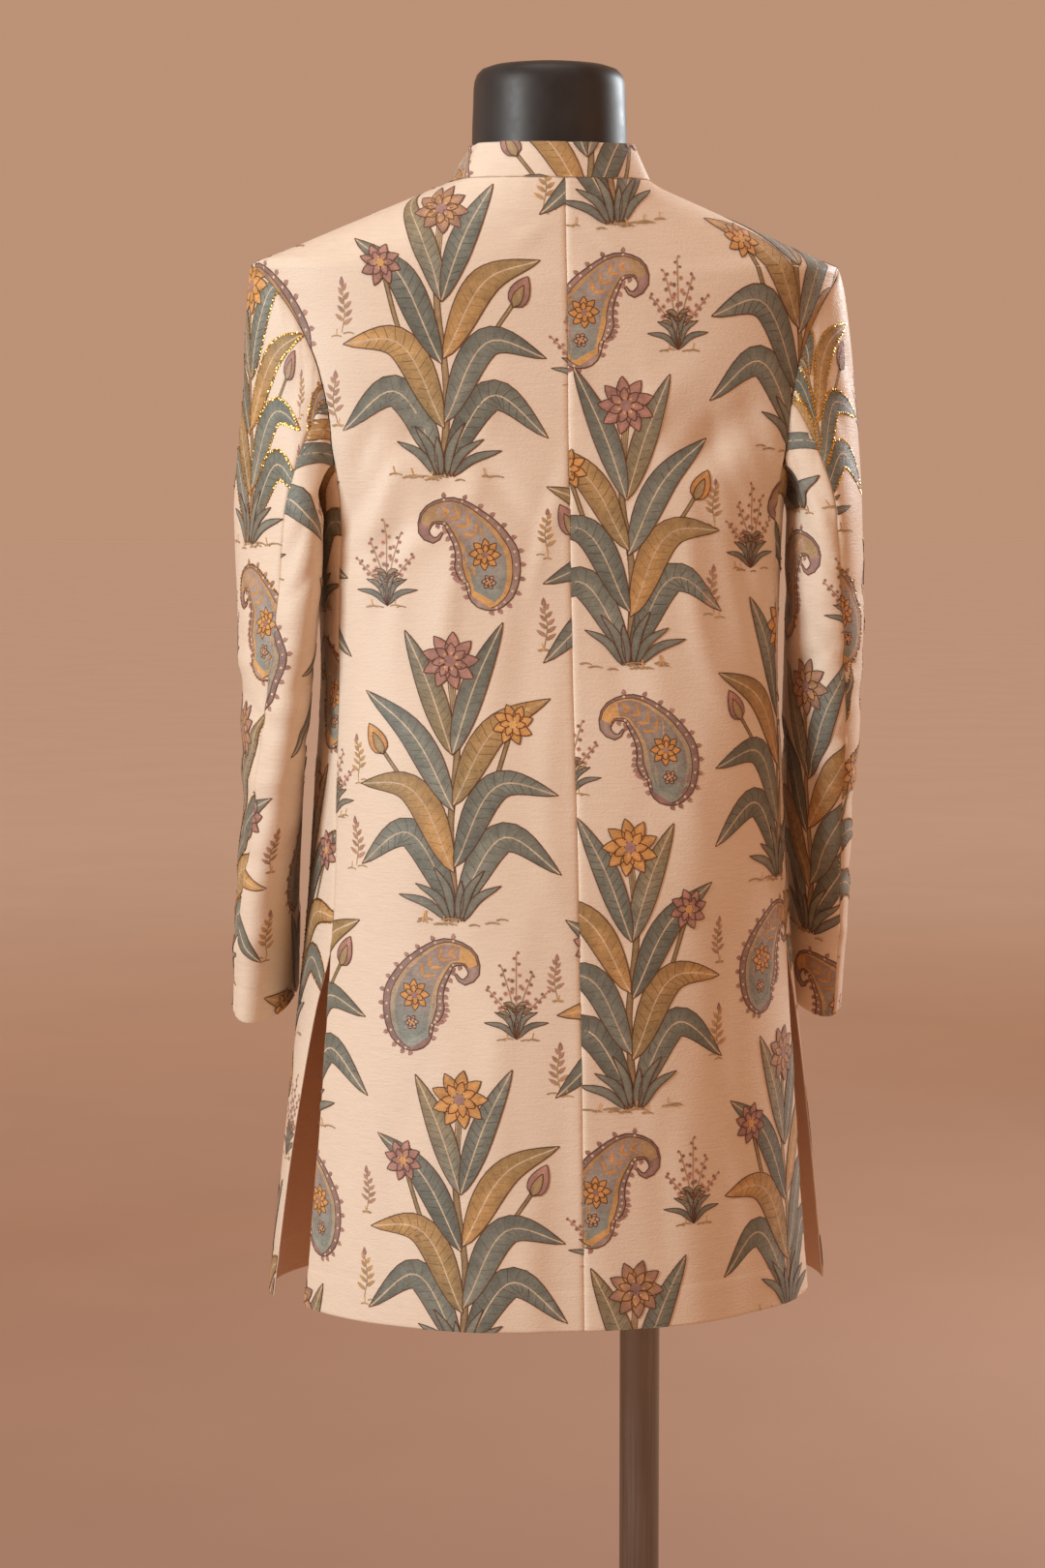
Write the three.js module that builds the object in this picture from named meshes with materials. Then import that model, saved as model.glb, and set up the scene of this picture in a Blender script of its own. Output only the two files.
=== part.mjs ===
// A sherwani worn by a limbless dress form on a pole and a round base.
// Millimetres, +Z up. The origin is on the floor under the middle of the form.
// The front faces -Y, the back +Y, and the wearer's left arm is on +X.
import * as THREE from "three";
import { mergeVertices } from "three/addons/utils/BufferGeometryUtils.js";

const CLOTH = 1.6; // an interlined panel, face to face
const COLLAR_CLOTH = 2.2;
const SEAM_GAP = 0.3;
const SLEEVE_GAP = 0.5; // sleeve head to body panels round the armhole
const TIP_GAP = 0.9; // and at the shoulder tip, where it turns most
const COLLAR_GAP = 0.7; // collar to neckline
const REST_GAP = 0.5; // cloth to form on the shoulders, where it rests
const FORM_EASE = 7; // cloth to form where the cloth hangs free
const COLLAR_RISE = 28;
const COLLAR_LEAN = 15; // how far the collar's top edge leans in at the sides
const COLLAR_OPEN = 3; // each collar end to the centre front
const OVERLAP = 18; // each front passes the centre by this
const LAP_LIFT = CLOTH + 0.5; // the left front lies on the right one
const BUTTON_COUNT = 7;
const BUTTON_RADIUS = 9.5;
const BUTTON_TOP = 1418; // height of the highest button
const BUTTON_STEP = 82;
const BUTTON_GAP = 0.5; // button to cloth
const FORM_BOTTOM = 912;
const NECK_TOP = 1548;
const CAP_TOP = 1597;
const POLE_X = -77; // the pole stands off centre, towards the wearer's right
const POLE_RADIUS = 16.5;
const FLANGE_THICK = 8;
const FLANGE_RADIUS = 48;
const BASE_RADIUS = 190;
const BASE_THICK = 10;
const SOCKET_HEIGHT = 34;

const DEGREE = Math.PI / 180;
const UP = new THREE.Vector3(0, 0, 1);

// Rings of the body, hem to neckline. A ring's level is its height at the centre back.
// side and front are its heights there, half its half-width on the back and front panels,
// deep its depth behind and before the middle, and box how square it is, 2 for an ellipse.
const RINGS = [
  ring(604, 604, 604, 216, 230, 174, 150, 2.1, 2.2),
  ring(700, 700, 700, 209, 220, 167, 146, 2.1, 2.2),
  ring(800, 800, 800, 204, 209, 159, 140, 2.1, 2.2),
  ring(895, 895, 895, 199, 199, 149, 133, 2.15, 2.2),
  ring(958, 958, 958, 194, 194, 142, 127, 2.3, 2.3),
  ring(1035, 1035, 1035, 189, 189, 130, 118, 2.6, 2.5),
  ring(1110, 1110, 1110, 185, 185, 116, 109, 2.8, 2.6),
  ring(1185, 1185, 1185, 187, 187, 107, 112, 2.9, 2.6),
  ring(1235, 1235, 1235, 189, 189, 102, 117, 3.0, 2.5),
  ring(1262, 1262, 1262, 194, 194, 99, 118, 3.0, 2.5),
  ring(1307, 1307, 1305, 214, 214, 94, 116, 2.6, 2.4),
  ring(1343, 1345, 1336, 222, 222, 92, 111, 2.45, 2.3),
  ring(1383, 1389, 1366, 228, 228, 90, 104, 2.3, 2.2),
  ring(1420, 1436, 1396, 238, 238, 88, 94, 2.15, 2.1),
  ring(1425, 1440, 1399, 228, 228, 87, 92, 2.1, 2.1),
  ring(1447, 1460, 1412, 180, 180, 84, 85, 2.1, 2.05),
  ring(1476, 1483, 1428, 126, 126, 81, 77, 2.05, 2),
  ring(1500, 1502, 1440, 80, 80, 78, 71, 2, 2),
];

// The levels at which each panel has a row of points, and how many columns it has.
const TIP_LEVEL = 1420; // the ring through the shoulder tips
const UNDERARM_LEVEL = 1276; // the ring where the side seam meets the armhole
const PLAIN_LEVEL = 1185; // below this the front's rows lie level
const TOP_LEVEL = 1500;
const ROW_LEVELS = [
  604, 650, 700, 750, 800, 848, 895, 940, 985, 1035, 1085, 1135, 1185, 1232, 1276, 1300,
  1325, 1350, 1373, 1393, 1409, 1420, 1430, 1447, 1465, 1483, 1500,
];
const BACK_COLUMNS = 8;
const SIDE_COLUMNS = 4; // the front panel's columns behind the armhole's corner
const CHEST_COLUMNS = 6;
const LAP_PLACES = [46, OVERLAP + 3, 0, -OVERLAP]; // mm from the centre front
const FRONT_COLUMNS = SIDE_COLUMNS + CHEST_COLUMNS + LAP_PLACES.length - 1;
const UNDERARM_ROW = ROW_LEVELS.indexOf(UNDERARM_LEVEL);
const TIP_ROW = ROW_LEVELS.indexOf(TIP_LEVEL);
const TOP_ROW = ROW_LEVELS.length - 1;

// Where the panels end, as angles round the body from the side, + towards the back.
const BACK_EDGE = [
  at(604, 14.4), at(700, 15.8), at(800, 17.2), at(895, 18), at(958, 18.1),
  at(1035, 17.5), at(1110, 16.4), at(1185, 16.8), at(1235, 17.8), at(1276, 18.4),
  at(1307, 18.2), at(1345, 16.4), at(1380, 12.4), at(1405, 7.2), at(1420, 1),
  at(1430, 0), at(1500, 0),
];
const FRONT_EDGE = [
  at(604, 4.1), at(700, 6.6), at(785, 10.2), at(844, 13.6), at(880, 17), at(895, 18),
  at(958, 18.1), at(1035, 17.5), at(1110, 16.4), at(1185, 16.8), at(1235, 17.8),
  at(1276, 18.4),
];
const ARMHOLE_FRONT = [
  at(1262, -10), at(1275, -14.5), at(1298, -18), at(1325, -19), at(1352, -17.5),
  at(1380, -12.5), at(1403, -6.5), at(1420, 1), at(1430, 0), at(1500, 0),
];
// The armhole's floor on the front panel: the level at each angle.
const ARMHOLE_FLOOR = [
  at(-90, 1268), at(-30, 1268), at(-10, 1262), at(-3, 1257), at(5, 1256), at(12, 1262),
  at(18.4, 1276),
];
const CORNER_ANGLE = -10; // where the armhole's floor turns up the front
const ARMHOLE_DROP = 6; // how far the front's armhole lags its table, level for level

// Soft folds in the body: where each lies round the body and up it, the way it runs,
// half its length and width, and how far it stands out.
const FOLDS = [
  fold(27, 1262, 62, 70, 17, -3.2),
  fold(38, 1240, 50, 60, 16, -2.2),
  fold(150, 1258, 118, 75, 17, -3.2),
  fold(141, 1225, 128, 60, 15, -2.2),
  fold(-34, 1250, 118, 60, 17, -2.5),
  fold(-146, 1250, 62, 60, 17, -2.5),
  fold(62, 640, 90, 120, 30, 3),
  fold(84, 630, 90, 130, 22, -2.5),
  fold(118, 640, 92, 140, 28, 3.5),
  fold(138, 640, 88, 100, 20, -3),
  fold(-40, 640, 90, 130, 28, 3),
  fold(-140, 640, 90, 130, 28, 3),
];
const FOLD_SCALE = 185; // the body's radius that the folds' widths are measured at

// Sections of each sleeve down the arm. x and y place the middle, thin and broad are the
// half-sizes, turn swings the broad way's back end out, and pitch tips the section forward.
const LEFT_SLEEVE = [
  section(1232, 221, 14, 27, 68, -17, 0),
  section(1188, 221, 14, 28, 67, -14, 1),
  section(1126, 223, 12, 28, 65, -8, 3),
  section(1063, 224, 6, 26.5, 62, 0, 8),
  section(994, 226, -4, 24.5, 60, 8, 13),
  section(935, 228, -19, 24, 58, 15, 16),
  section(843, 228, -47, 23, 58, 20, 18),
];
const RIGHT_SLEEVE = [
  section(1232, 226, 14, 31, 67, -12, 0),
  section(1188, 226, 14, 32, 66, -10, 1),
  section(1126, 227, 12, 32, 64, -6, 3),
  section(1063, 226, 6, 30, 62, -2, 8),
  section(994, 226, -4, 27, 60, 0, 13),
  section(935, 229, -19, 24.5, 58, 1, 16),
  section(839, 231, -47, 23, 58, 2, 18),
];
const CAP_ROWS = 5; // rows of points from the armhole to the first section
const SLEEVE_HEIGHTS = [
  1232, 1200, 1165, 1126, 1095, 1063, 1030, 994, 965, 935, 905, 873,
]; // and then the cuff's own
const LEFT_HIND = 50; // where the hind-arm seam lies round a section, from the outside
const RIGHT_HIND = 72;
const FOREARM = 242;
const SEAM_AT_BACK = 92; // where the hind-arm seam starts round the armhole
const SEAM_AT_FRONT = 235; // and the forearm seam
const SLEEVE_SPREAD = 0.5; // how far the sleeve head leans back or forward as it leaves
const SLEEVE_LEAVE = 24; // how strongly it leaves the armhole
const SLEEVE_FALL = 0.9; // and how strongly it falls to the first section
const SLEEVE_RADIUS = 45; // a round sleeve of the same girth, for the widths of its folds
const SLEEVE_FOLDS = [
  fold(20, 1095, 12, 60, 12, -2.5),
  fold(60, 1120, -16, 60, 12, -2),
  fold(30, 1010, 10, 70, 13, -2.4),
  fold(250, 1060, 20, 55, 14, -3),
  fold(200, 1180, 30, 50, 14, -2),
];

// The neck inside the collar: from the last ring of the shoulders up to the cap.
const NECK = [
  { rise: 5, planar: 0, half: 70, deepBack: 69, deepFront: 60 },
  { rise: 0, planar: 1512, half: 62, deepBack: 62, deepFront: 54 },
  { rise: 0, planar: NECK_TOP, half: 61, deepBack: 60, deepFront: 55 },
];
const EASE_FROM = 1330; // above this the form closes on the cloth
const EASE_TO = 1440;

// The collar's rows by share of its rise, and how its two end columns round off.
const COLLAR_ROWS = [0, 0.5, 0.85, 1];
const COLLAR_ENDS = [0.72, 0.93];
const COLLAR_ROUND = 0.28;

const NORMAL_TURN = 0.5; // degrees and mm to each side of a point for its normal
const NORMAL_CLIMB = 2;

// Profiles as [radius, height].
const BUTTON_PROFILE = [
  [0, 0], [0.8, 0], [1, 0.2], [0.93, 0.42], [0.6, 0.62], [0, 0.7],
].map(([radius, height]) => [radius * BUTTON_RADIUS, height * BUTTON_RADIUS]);
const CAP_HEIGHT = CAP_TOP - NECK_TOP - SEAM_GAP;
const CAP_PROFILE = [
  [0, 0], [61, 0], [61, 0.45], [59.5, 0.66], [51, 0.85], [30, 0.96], [0, 1],
].map(([radius, share]) => [radius, share * CAP_HEIGHT]);
const CAP_DEPTH = 0.95; // front to back, as a share of its width
const CAP_Y = 2;
const SOCKET_BORE = POLE_RADIUS + SEAM_GAP;
const SOCKET_PROFILE = [
  [SOCKET_BORE, 0], [34, 0], [34, 5], [24, 9], [22, SOCKET_HEIGHT], [SOCKET_BORE, SOCKET_HEIGHT],
  [SOCKET_BORE, 0],
];
const PLATE_PROFILE = [
  [0, 0], [BASE_RADIUS - 2, 0], [BASE_RADIUS, 2], [BASE_RADIUS, BASE_THICK - 3],
  [BASE_RADIUS - 3, BASE_THICK], [0, BASE_THICK],
];

const cloth = finish(0xdcc0a2, 0.62, 0);
const covered = finish(0xd2a583, 0.6, 0);
const cover = finish(0x141416, 0.85, 0);
const steel = finish(0xb9bcc0, 0.32, 0.9);

function ring(level, side, front, halfBack, halfFront, deepBack, deepFront, boxBack, boxFront) {
  return { at: level, side, front, halfBack, halfFront, deepBack, deepFront, boxBack, boxFront };
}
function at(place, value) {
  return { at: place, value };
}
function fold(angle, level, tilt, length, width, depth) {
  return { angle, level, tilt, length, width, depth };
}
function section(height, x, y, thin, broad, turn, pitch) {
  return { at: height, x, y, thin, broad, turn, pitch };
}
function finish(color, roughness, metalness) {
  return new THREE.MeshStandardMaterial({ color, roughness, metalness, side: THREE.DoubleSide });
}

// A table's column at any place: a smooth curve that never swings past its rows.
function read(table, key, place) {
  const last = table.length - 1;
  const rising = table[last].at > table[0].at;
  let i = 0;
  while (i < last - 1 && (rising ? table[i + 1].at <= place : table[i + 1].at >= place)) i += 1;
  const slope = (k) => (table[k + 1][key] - table[k][key]) / (table[k + 1].at - table[k].at);
  const tangent = (k) => {
    if (k === 0) return slope(0);
    if (k === last) return slope(last - 1);
    const [a, b] = [slope(k - 1), slope(k)];
    return a * b <= 0 ? 0 : (2 * a * b) / (a + b);
  };
  const span = table[i + 1].at - table[i].at;
  const t = THREE.MathUtils.clamp((place - table[i].at) / span, 0, 1);
  return hermite(table[i][key], tangent(i) * span, table[i + 1][key], tangent(i + 1) * span, t);
}
function hermite(from, leave, to, arrive, t) {
  const [t2, t3] = [t * t, t * t * t];
  return (
    from * (2 * t3 - 3 * t2 + 1) + leave * (t3 - 2 * t2 + t) +
    to * (3 * t2 - 2 * t3) + arrive * (t3 - t2)
  );
}
function mix(a, b, t) {
  return a + (b - a) * t;
}

// How far the folds move the cloth out at a place, over a girth of the given radius.
function foldDepth(folds, angle, level, radius) {
  return folds.reduce((sum, f) => {
    const turn = ((((angle - f.angle + 180) % 360) + 360) % 360) - 180;
    const [across, up] = [turn * DEGREE * radius, level - f.level];
    const [c, s] = [Math.cos(f.tilt * DEGREE), Math.sin(f.tilt * DEGREE)];
    const [along, off] = [across * c + up * s, up * c - across * s];
    return sum + f.depth * Math.exp(-((along / f.length) ** 2) - (off / f.width) ** 2);
  }, 0);
}

// A point of the body's smooth outer face. angle runs from the wearer's left side to the back.
function bodyPoint(angle, level, half) {
  const [c, s] = [Math.cos(angle * DEGREE), Math.sin(angle * DEGREE)];
  const way = s > 0 ? "Back" : "Front";
  const box = read(RINGS, "box" + way, level);
  const wide = Math.abs(c) / read(RINGS, half, level);
  const deep = Math.abs(s) / read(RINGS, "deep" + way, level);
  const radius = (wide ** box + deep ** box) ** (-1 / box);
  const side = read(RINGS, "side", level);
  const end = s > 0 ? level : read(RINGS, "front", level);
  return new THREE.Vector3(radius * c, radius * s, mix(side, end, s * s));
}

// The same point with its outward normal, moved out by the folds, and sideways until it
// lies lift clear of where it was.
function bodySpot(angle, level, half, lift = 0) {
  const low = Math.max(level - NORMAL_CLIMB, ROW_LEVELS[0]);
  const high = Math.min(level + NORMAL_CLIMB, TOP_LEVEL);
  const point = bodyPoint(angle, level, half);
  const round = bodyPoint(angle + NORMAL_TURN, level, half);
  round.sub(bodyPoint(angle - NORMAL_TURN, level, half));
  const rise = bodyPoint(angle, high, half).sub(bodyPoint(angle, low, half));
  const normal = round.cross(rise).normalize();
  point.addScaledVector(normal, foldDepth(FOLDS, angle, level, FOLD_SCALE));
  const flat = new THREE.Vector3(normal.x, normal.y, 0).normalize();
  return { point: point.addScaledVector(flat, lift / flat.dot(normal)), normal };
}

// A closed solid from triangles, turned to face out. Triangles with no area are left out.
function solid(points, triangles) {
  const kept = [];
  let volume = 0;
  for (const [a, b, c] of triangles) {
    const [p, q, r] = [points[a], points[b], points[c]];
    const same = p.distanceTo(q) < 0.01 || q.distanceTo(r) < 0.01 || r.distanceTo(p) < 0.01;
    if (same) continue;
    kept.push([p, q, r]);
    volume += p.dot(new THREE.Vector3().crossVectors(q, r));
  }
  const order = volume > 0 ? [0, 1, 2] : [0, 2, 1];
  const flat = kept.flatMap((face) => order.flatMap((k) => face[k].toArray()));
  const geometry = new THREE.BufferGeometry();
  geometry.setAttribute("position", new THREE.Float32BufferAttribute(flat, 3));
  const merged = mergeVertices(geometry, 1e-3);
  merged.computeVertexNormals();
  return merged;
}

// A wall over a grid of spots, thick mm through, with the cells that isCell allows. Each cell
// splits along the diagonal that climbs with its columns, or the one that falls.
function wall(grid, thick, isCell = () => true, climbs = true) {
  const [rows, columns] = [grid.length, grid[0].length];
  const outer = grid.flat().map((spot) => spot.point.clone());
  const inner = grid.flat().map((spot) => spot.point.clone().addScaledVector(spot.normal, -thick));
  const under = outer.length;
  const index = (row, column) => row * columns + column;
  const real = (row, column) =>
    row >= 0 && column >= 0 && row < rows - 1 && column < columns - 1 && isCell(row, column);
  const faces = [];
  const quad = (a, b, c, d, split = true) => {
    if (split) faces.push([a, b, c], [a, c, d]);
    else faces.push([a, b, d], [b, c, d]);
  };
  for (let row = 0; row < rows - 1; row += 1) {
    for (let column = 0; column < columns - 1; column += 1) {
      if (!real(row, column)) continue;
      const a = index(row, column);
      const b = index(row, column + 1);
      const c = index(row + 1, column + 1);
      const d = index(row + 1, column);
      quad(a, b, c, d, climbs);
      quad(a + under, d + under, c + under, b + under, climbs);
      if (!real(row - 1, column)) quad(b, a, a + under, b + under);
      if (!real(row + 1, column)) quad(d, c, c + under, d + under);
      if (!real(row, column - 1)) quad(a, d, d + under, a + under);
      if (!real(row, column + 1)) quad(c, b, b + under, c + under);
    }
  }
  return solid([...outer, ...inner], faces);
}

// A closed loft over rings with the same number of points, with flat ends. climbs says which
// diagonal each column of cells splits along.
function loft(rings, climbs, bottom, top) {
  const count = rings[0].length;
  const points = [...rings.flat(), bottom, top];
  const faces = [];
  for (let k = 0; k < count; k += 1) {
    const next = (k + 1) % count;
    for (let row = 0; row < rings.length - 1; row += 1) {
      const [low, high] = [row * count, (row + 1) * count];
      const [a, b, c, d] = [low + k, low + next, high + next, high + k];
      if (climbs(k)) faces.push([a, b, c], [a, c, d]);
      else faces.push([a, b, d], [b, c, d]);
    }
    const last = (rings.length - 1) * count;
    faces.push([next, k, points.length - 2], [last + k, last + next, points.length - 1]);
  }
  return solid(points, faces);
}

function lathe(profile, segments) {
  const outline = profile.map(([radius, height]) => new THREE.Vector2(radius, height));
  const geometry = new THREE.LatheGeometry(outline, segments).rotateX(Math.PI / 2);
  geometry.deleteAttribute("normal");
  geometry.deleteAttribute("uv");
  const merged = mergeVertices(geometry, 1e-3);
  merged.computeVertexNormals();
  return merged;
}

// An angle on the wearer's left, or its mirror on the right.
function onSide(side, angle) {
  return side > 0 ? angle : 180 - angle;
}
function gapAngle(level, along) {
  return SEAM_GAP / 2 / read(RINGS, along, level) / DEGREE;
}

function backAngle(row, column) {
  const level = ROW_LEVELS[row];
  const edge = read(BACK_EDGE, "value", level) + gapAngle(level, "halfBack");
  return mix(90 - gapAngle(level, "deepBack"), edge, column / BACK_COLUMNS);
}
function backSpot(side, row, column) {
  return bodySpot(onSide(side, backAngle(row, column)), ROW_LEVELS[row], "halfBack");
}

// The front panel's row levels bend down under the armhole, and back to level above it.
function frontPlace(row, column) {
  const nominal = ROW_LEVELS[row];
  const deep = read(RINGS, "deepFront", nominal);
  const lap = LAP_PLACES.map((x) => -Math.acos(x / deep) / DEGREE);
  const edge = read(FRONT_EDGE, "value", nominal) - gapAngle(nominal, "halfFront");
  const above = row > UNDERARM_ROW;
  const armhole = read(ARMHOLE_FRONT, "value", nominal - (above && row < TIP_ROW ? ARMHOLE_DROP : 0));
  const turn = above ? armhole - gapAngle(nominal, "halfFront") : CORNER_ANGLE;
  let angle;
  if (column <= SIDE_COLUMNS) {
    angle = above ? turn : mix(edge, turn, column / SIDE_COLUMNS);
  } else if (column <= SIDE_COLUMNS + CHEST_COLUMNS) {
    angle = mix(turn, lap[0], (column - SIDE_COLUMNS) / CHEST_COLUMNS);
  } else {
    angle = lap[column - SIDE_COLUMNS - CHEST_COLUMNS];
  }
  return { angle, level: frontLevel(nominal, angle) };
}
function frontLevel(nominal, angle) {
  if (nominal <= PLAIN_LEVEL || nominal >= TIP_LEVEL) return nominal;
  const floor = read(ARMHOLE_FLOOR, "value", angle);
  if (nominal > UNDERARM_LEVEL) {
    return mix(floor, TIP_LEVEL, (nominal - UNDERARM_LEVEL) / (TIP_LEVEL - UNDERARM_LEVEL));
  }
  const share = (nominal - PLAIN_LEVEL) / (UNDERARM_LEVEL - PLAIN_LEVEL);
  return mix(PLAIN_LEVEL, floor, share);
}
function frontSpot(side, row, column) {
  const { angle, level } = frontPlace(row, column);
  const onLap = column > SIDE_COLUMNS + CHEST_COLUMNS;
  return bodySpot(onSide(side, angle), level, "halfFront", side > 0 && onLap ? LAP_LIFT : 0);
}
// A place at a height on the left front's edge at the centre, on the face between two rows.
function lapSpot(height) {
  const column = FRONT_COLUMNS - 1;
  let row = 0;
  while (frontSpot(1, row + 1, column).point.z < height) row += 1;
  const [low, high] = [frontSpot(1, row, column).point, frontSpot(1, row + 1, column).point];
  const normal = new THREE.Vector3(0, low.z - high.z, high.y - low.y).normalize();
  const point = low.clone().lerp(high, (height - low.z) / (high.z - low.z));
  return { point: point.addScaledVector(normal, BUTTON_GAP), normal };
}
function isFrontCell(row, column) {
  return row < UNDERARM_ROW || column >= SIDE_COLUMNS;
}
function grid(rows, columns, spot) {
  return Array.from({ length: rows + 1 }, (_, row) =>
    Array.from({ length: columns + 1 }, (_, column) => spot(row, column)),
  );
}
function backPanel(side) {
  const spots = grid(TOP_ROW, BACK_COLUMNS, (row, column) => backSpot(side, row, column));
  return wall(spots, CLOTH, () => true, false);
}
function frontPanel(side) {
  const spots = grid(TOP_ROW, FRONT_COLUMNS, (row, column) => frontSpot(side, row, column));
  return wall(spots, CLOTH, isFrontCell);
}

// The armhole as a loop of body spots: from the tip down the back, forward under the arm
// and up the front. Each comes with a neighbour on the panel, so it can be moved away from it.
function armhole(side) {
  const ridge = backSpot(side, TIP_ROW + 1, BACK_COLUMNS);
  const loop = [[backSpot(side, TIP_ROW, BACK_COLUMNS), ridge]];
  for (let row = TIP_ROW - 1; row > UNDERARM_ROW; row -= 1) {
    loop.push([backSpot(side, row, BACK_COLUMNS), backSpot(side, row, BACK_COLUMNS - 1)]);
  }
  for (let column = 0; column <= SIDE_COLUMNS; column += 1) {
    loop.push([
      frontSpot(side, UNDERARM_ROW, column), frontSpot(side, UNDERARM_ROW - 1, column),
    ]);
  }
  for (let row = UNDERARM_ROW + 1; row < TIP_ROW; row += 1) {
    loop.push([frontSpot(side, row, SIDE_COLUMNS), frontSpot(side, row, SIDE_COLUMNS + 1)]);
  }
  return loop;
}

// Where each armhole point comes out round the sleeve, in degrees from the outside to the
// back: by its share of the armhole's length, then led to the two seams down the arm.
function sleeveTurns(loop) {
  const steps = loop.map(([spot], k) => {
    return spot.point.distanceTo(loop[(k + 1) % loop.length][0].point);
  });
  const whole = steps.reduce((sum, step) => sum + step, 0);
  let walked = 0;
  return steps.map((step) => {
    const turn = (360 * walked) / whole;
    walked += step;
    return turn;
  });
}

function sleevePoint(table, side, turn, height) {
  const get = (key) => read(table, key, height);
  const [c, s] = [Math.cos(turn * DEGREE), Math.sin(turn * DEGREE)];
  const [swing, tip] = [get("turn") * DEGREE, get("pitch") * DEGREE];
  const [thin, broad] = [get("thin") * c, get("broad") * s];
  const x = get("x") + thin * Math.cos(swing) + broad * Math.sin(swing);
  const back = broad * Math.cos(swing) - thin * Math.sin(swing);
  const y = get("y") + back * Math.cos(tip);
  return new THREE.Vector3(side * x, y, height - back * Math.sin(tip));
}

// The sleeve's outer face: rows of points from the armhole to the cuff.
function sleeveRows(side, table, hind) {
  const loop = armhole(side);
  const turns = sleeveTurns(loop);
  const hindIndex = turns.findIndex((turn) => turn > SEAM_AT_BACK);
  const forearmIndex = turns.findIndex((turn) => turn > SEAM_AT_FRONT);
  const led = turns.map((turn, k) => {
    const [a, b] = [turns[hindIndex], turns[forearmIndex]];
    if (k <= hindIndex) return (hind * turn) / a;
    if (k <= forearmIndex) return mix(hind, FOREARM, (turn - a) / (b - a));
    return mix(FOREARM, 360, (turn - b) / (360 - b));
  });
  const cuff = table[table.length - 1].at;
  const first = SLEEVE_HEIGHTS[0];
  const rows = Array.from({ length: CAP_ROWS }, (_, row) =>
    loop.map(([spot, neighbour], k) => {
      const away = spot.point.clone().sub(neighbour.point).normalize();
      const start = spot.point.clone().addScaledVector(away, k === 0 ? TIP_GAP : SLEEVE_GAP);
      const end = sleevePoint(table, side, led[k], first);
      const below = sleevePoint(table, side, led[k], first - 1);
      const reach = start.distanceTo(end);
      const s = Math.sin(turns[k] * DEGREE);
      const leave = new THREE.Vector3(side, SLEEVE_SPREAD * s, 0).setLength(SLEEVE_LEAVE);
      const arrive = below.sub(end).setLength(reach * SLEEVE_FALL);
      const t = row / CAP_ROWS;
      const along = (axis) => hermite(start[axis], leave[axis], end[axis], arrive[axis], t);
      return new THREE.Vector3(along("x"), along("y"), along("z"));
    }),
  );
  for (const height of [...SLEEVE_HEIGHTS, cuff]) {
    rows.push(led.map((turn) => sleevePoint(table, side, turn, height)));
  }
  return { rows, led, hindIndex, forearmIndex, heights: [...SLEEVE_HEIGHTS, cuff] };
}

// Normals of a closed tube of rows, out of the tube.
function tubeSpots(rows, side) {
  const count = rows[0].length;
  return rows.map((points, row) =>
    points.map((point, k) => {
      const round = points[(k + 1) % count].clone().sub(points[(k + count - 1) % count]);
      const up = rows[Math.max(row - 1, 0)][k].clone();
      const rise = up.sub(rows[Math.min(row + 1, rows.length - 1)][k]);
      const normal = round.cross(rise).normalize().multiplyScalar(side);
      return { point, normal };
    }),
  );
}

function foldSleeve(made, side) {
  return tubeSpots(made.rows, side).map((spots, row) =>
    spots.map(({ point, normal }, k) => {
      const height = made.heights[row - CAP_ROWS];
      if (height === undefined) return { point, normal };
      const out = foldDepth(SLEEVE_FOLDS, made.led[k], height, SLEEVE_RADIUS);
      return { point: point.clone().addScaledVector(normal, out), normal };
    }),
  );
}

// One panel of the sleeve: the columns from one seam to the other, with half a gap at each.
function sleevePanel(spots, from, to) {
  const count = spots[0].length;
  const span = (to - from + count) % count;
  const nudged = (spot, toward) => {
    const step = toward.point.clone().sub(spot.point).setLength(SEAM_GAP / 2 + 0.05);
    return { point: spot.point.clone().add(step), normal: spot.normal };
  };
  const panel = spots.map((row) => {
    const cells = Array.from({ length: span + 1 }, (_, k) => row[(from + k) % count]);
    cells[0] = nudged(cells[0], cells[1]);
    cells[span] = nudged(cells[span], cells[span - 1]);
    return cells;
  });
  return wall(panel, CLOTH);
}

// The stand collar: from its seam on the neckline up to a smaller ring, its ends rounded.
function collar() {
  const end = COLLAR_OPEN / read(RINGS, "deepFront", TOP_LEVEL) / DEGREE - 90;
  const half = [end];
  for (let k = FRONT_COLUMNS - 2; k >= SIDE_COLUMNS; k -= 1) half.push(frontPlace(TOP_ROW, k).angle);
  for (let k = BACK_COLUMNS - 1; k >= 0; k -= 1) half.push(backAngle(TOP_ROW, k));
  const angles = [...half, ...half.map((angle) => 180 - angle).reverse()];
  const spots = COLLAR_ROWS.map((share) =>
    angles.map((angle, column) => {
      const point = bodyPoint(angle, TOP_LEVEL, "halfFront");
      const out = new THREE.Vector3(point.x, point.y, 0).normalize();
      const near = Math.min(column, angles.length - 1 - column);
      const kept = COLLAR_ENDS[near] ?? 1;
      const climb = share * COLLAR_RISE * Math.min(1, kept + (1 - share) * COLLAR_ROUND);
      const lean = mix(COLLAR_LEAN, COLLAR_LEAN / 2, Math.sin(angle * DEGREE) ** 2) * share;
      point.addScaledVector(out, -lean).addScaledVector(UP, climb + COLLAR_GAP);
      return { point, normal: out };
    }),
  );
  return wall(spots, COLLAR_CLOTH);
}

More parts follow.
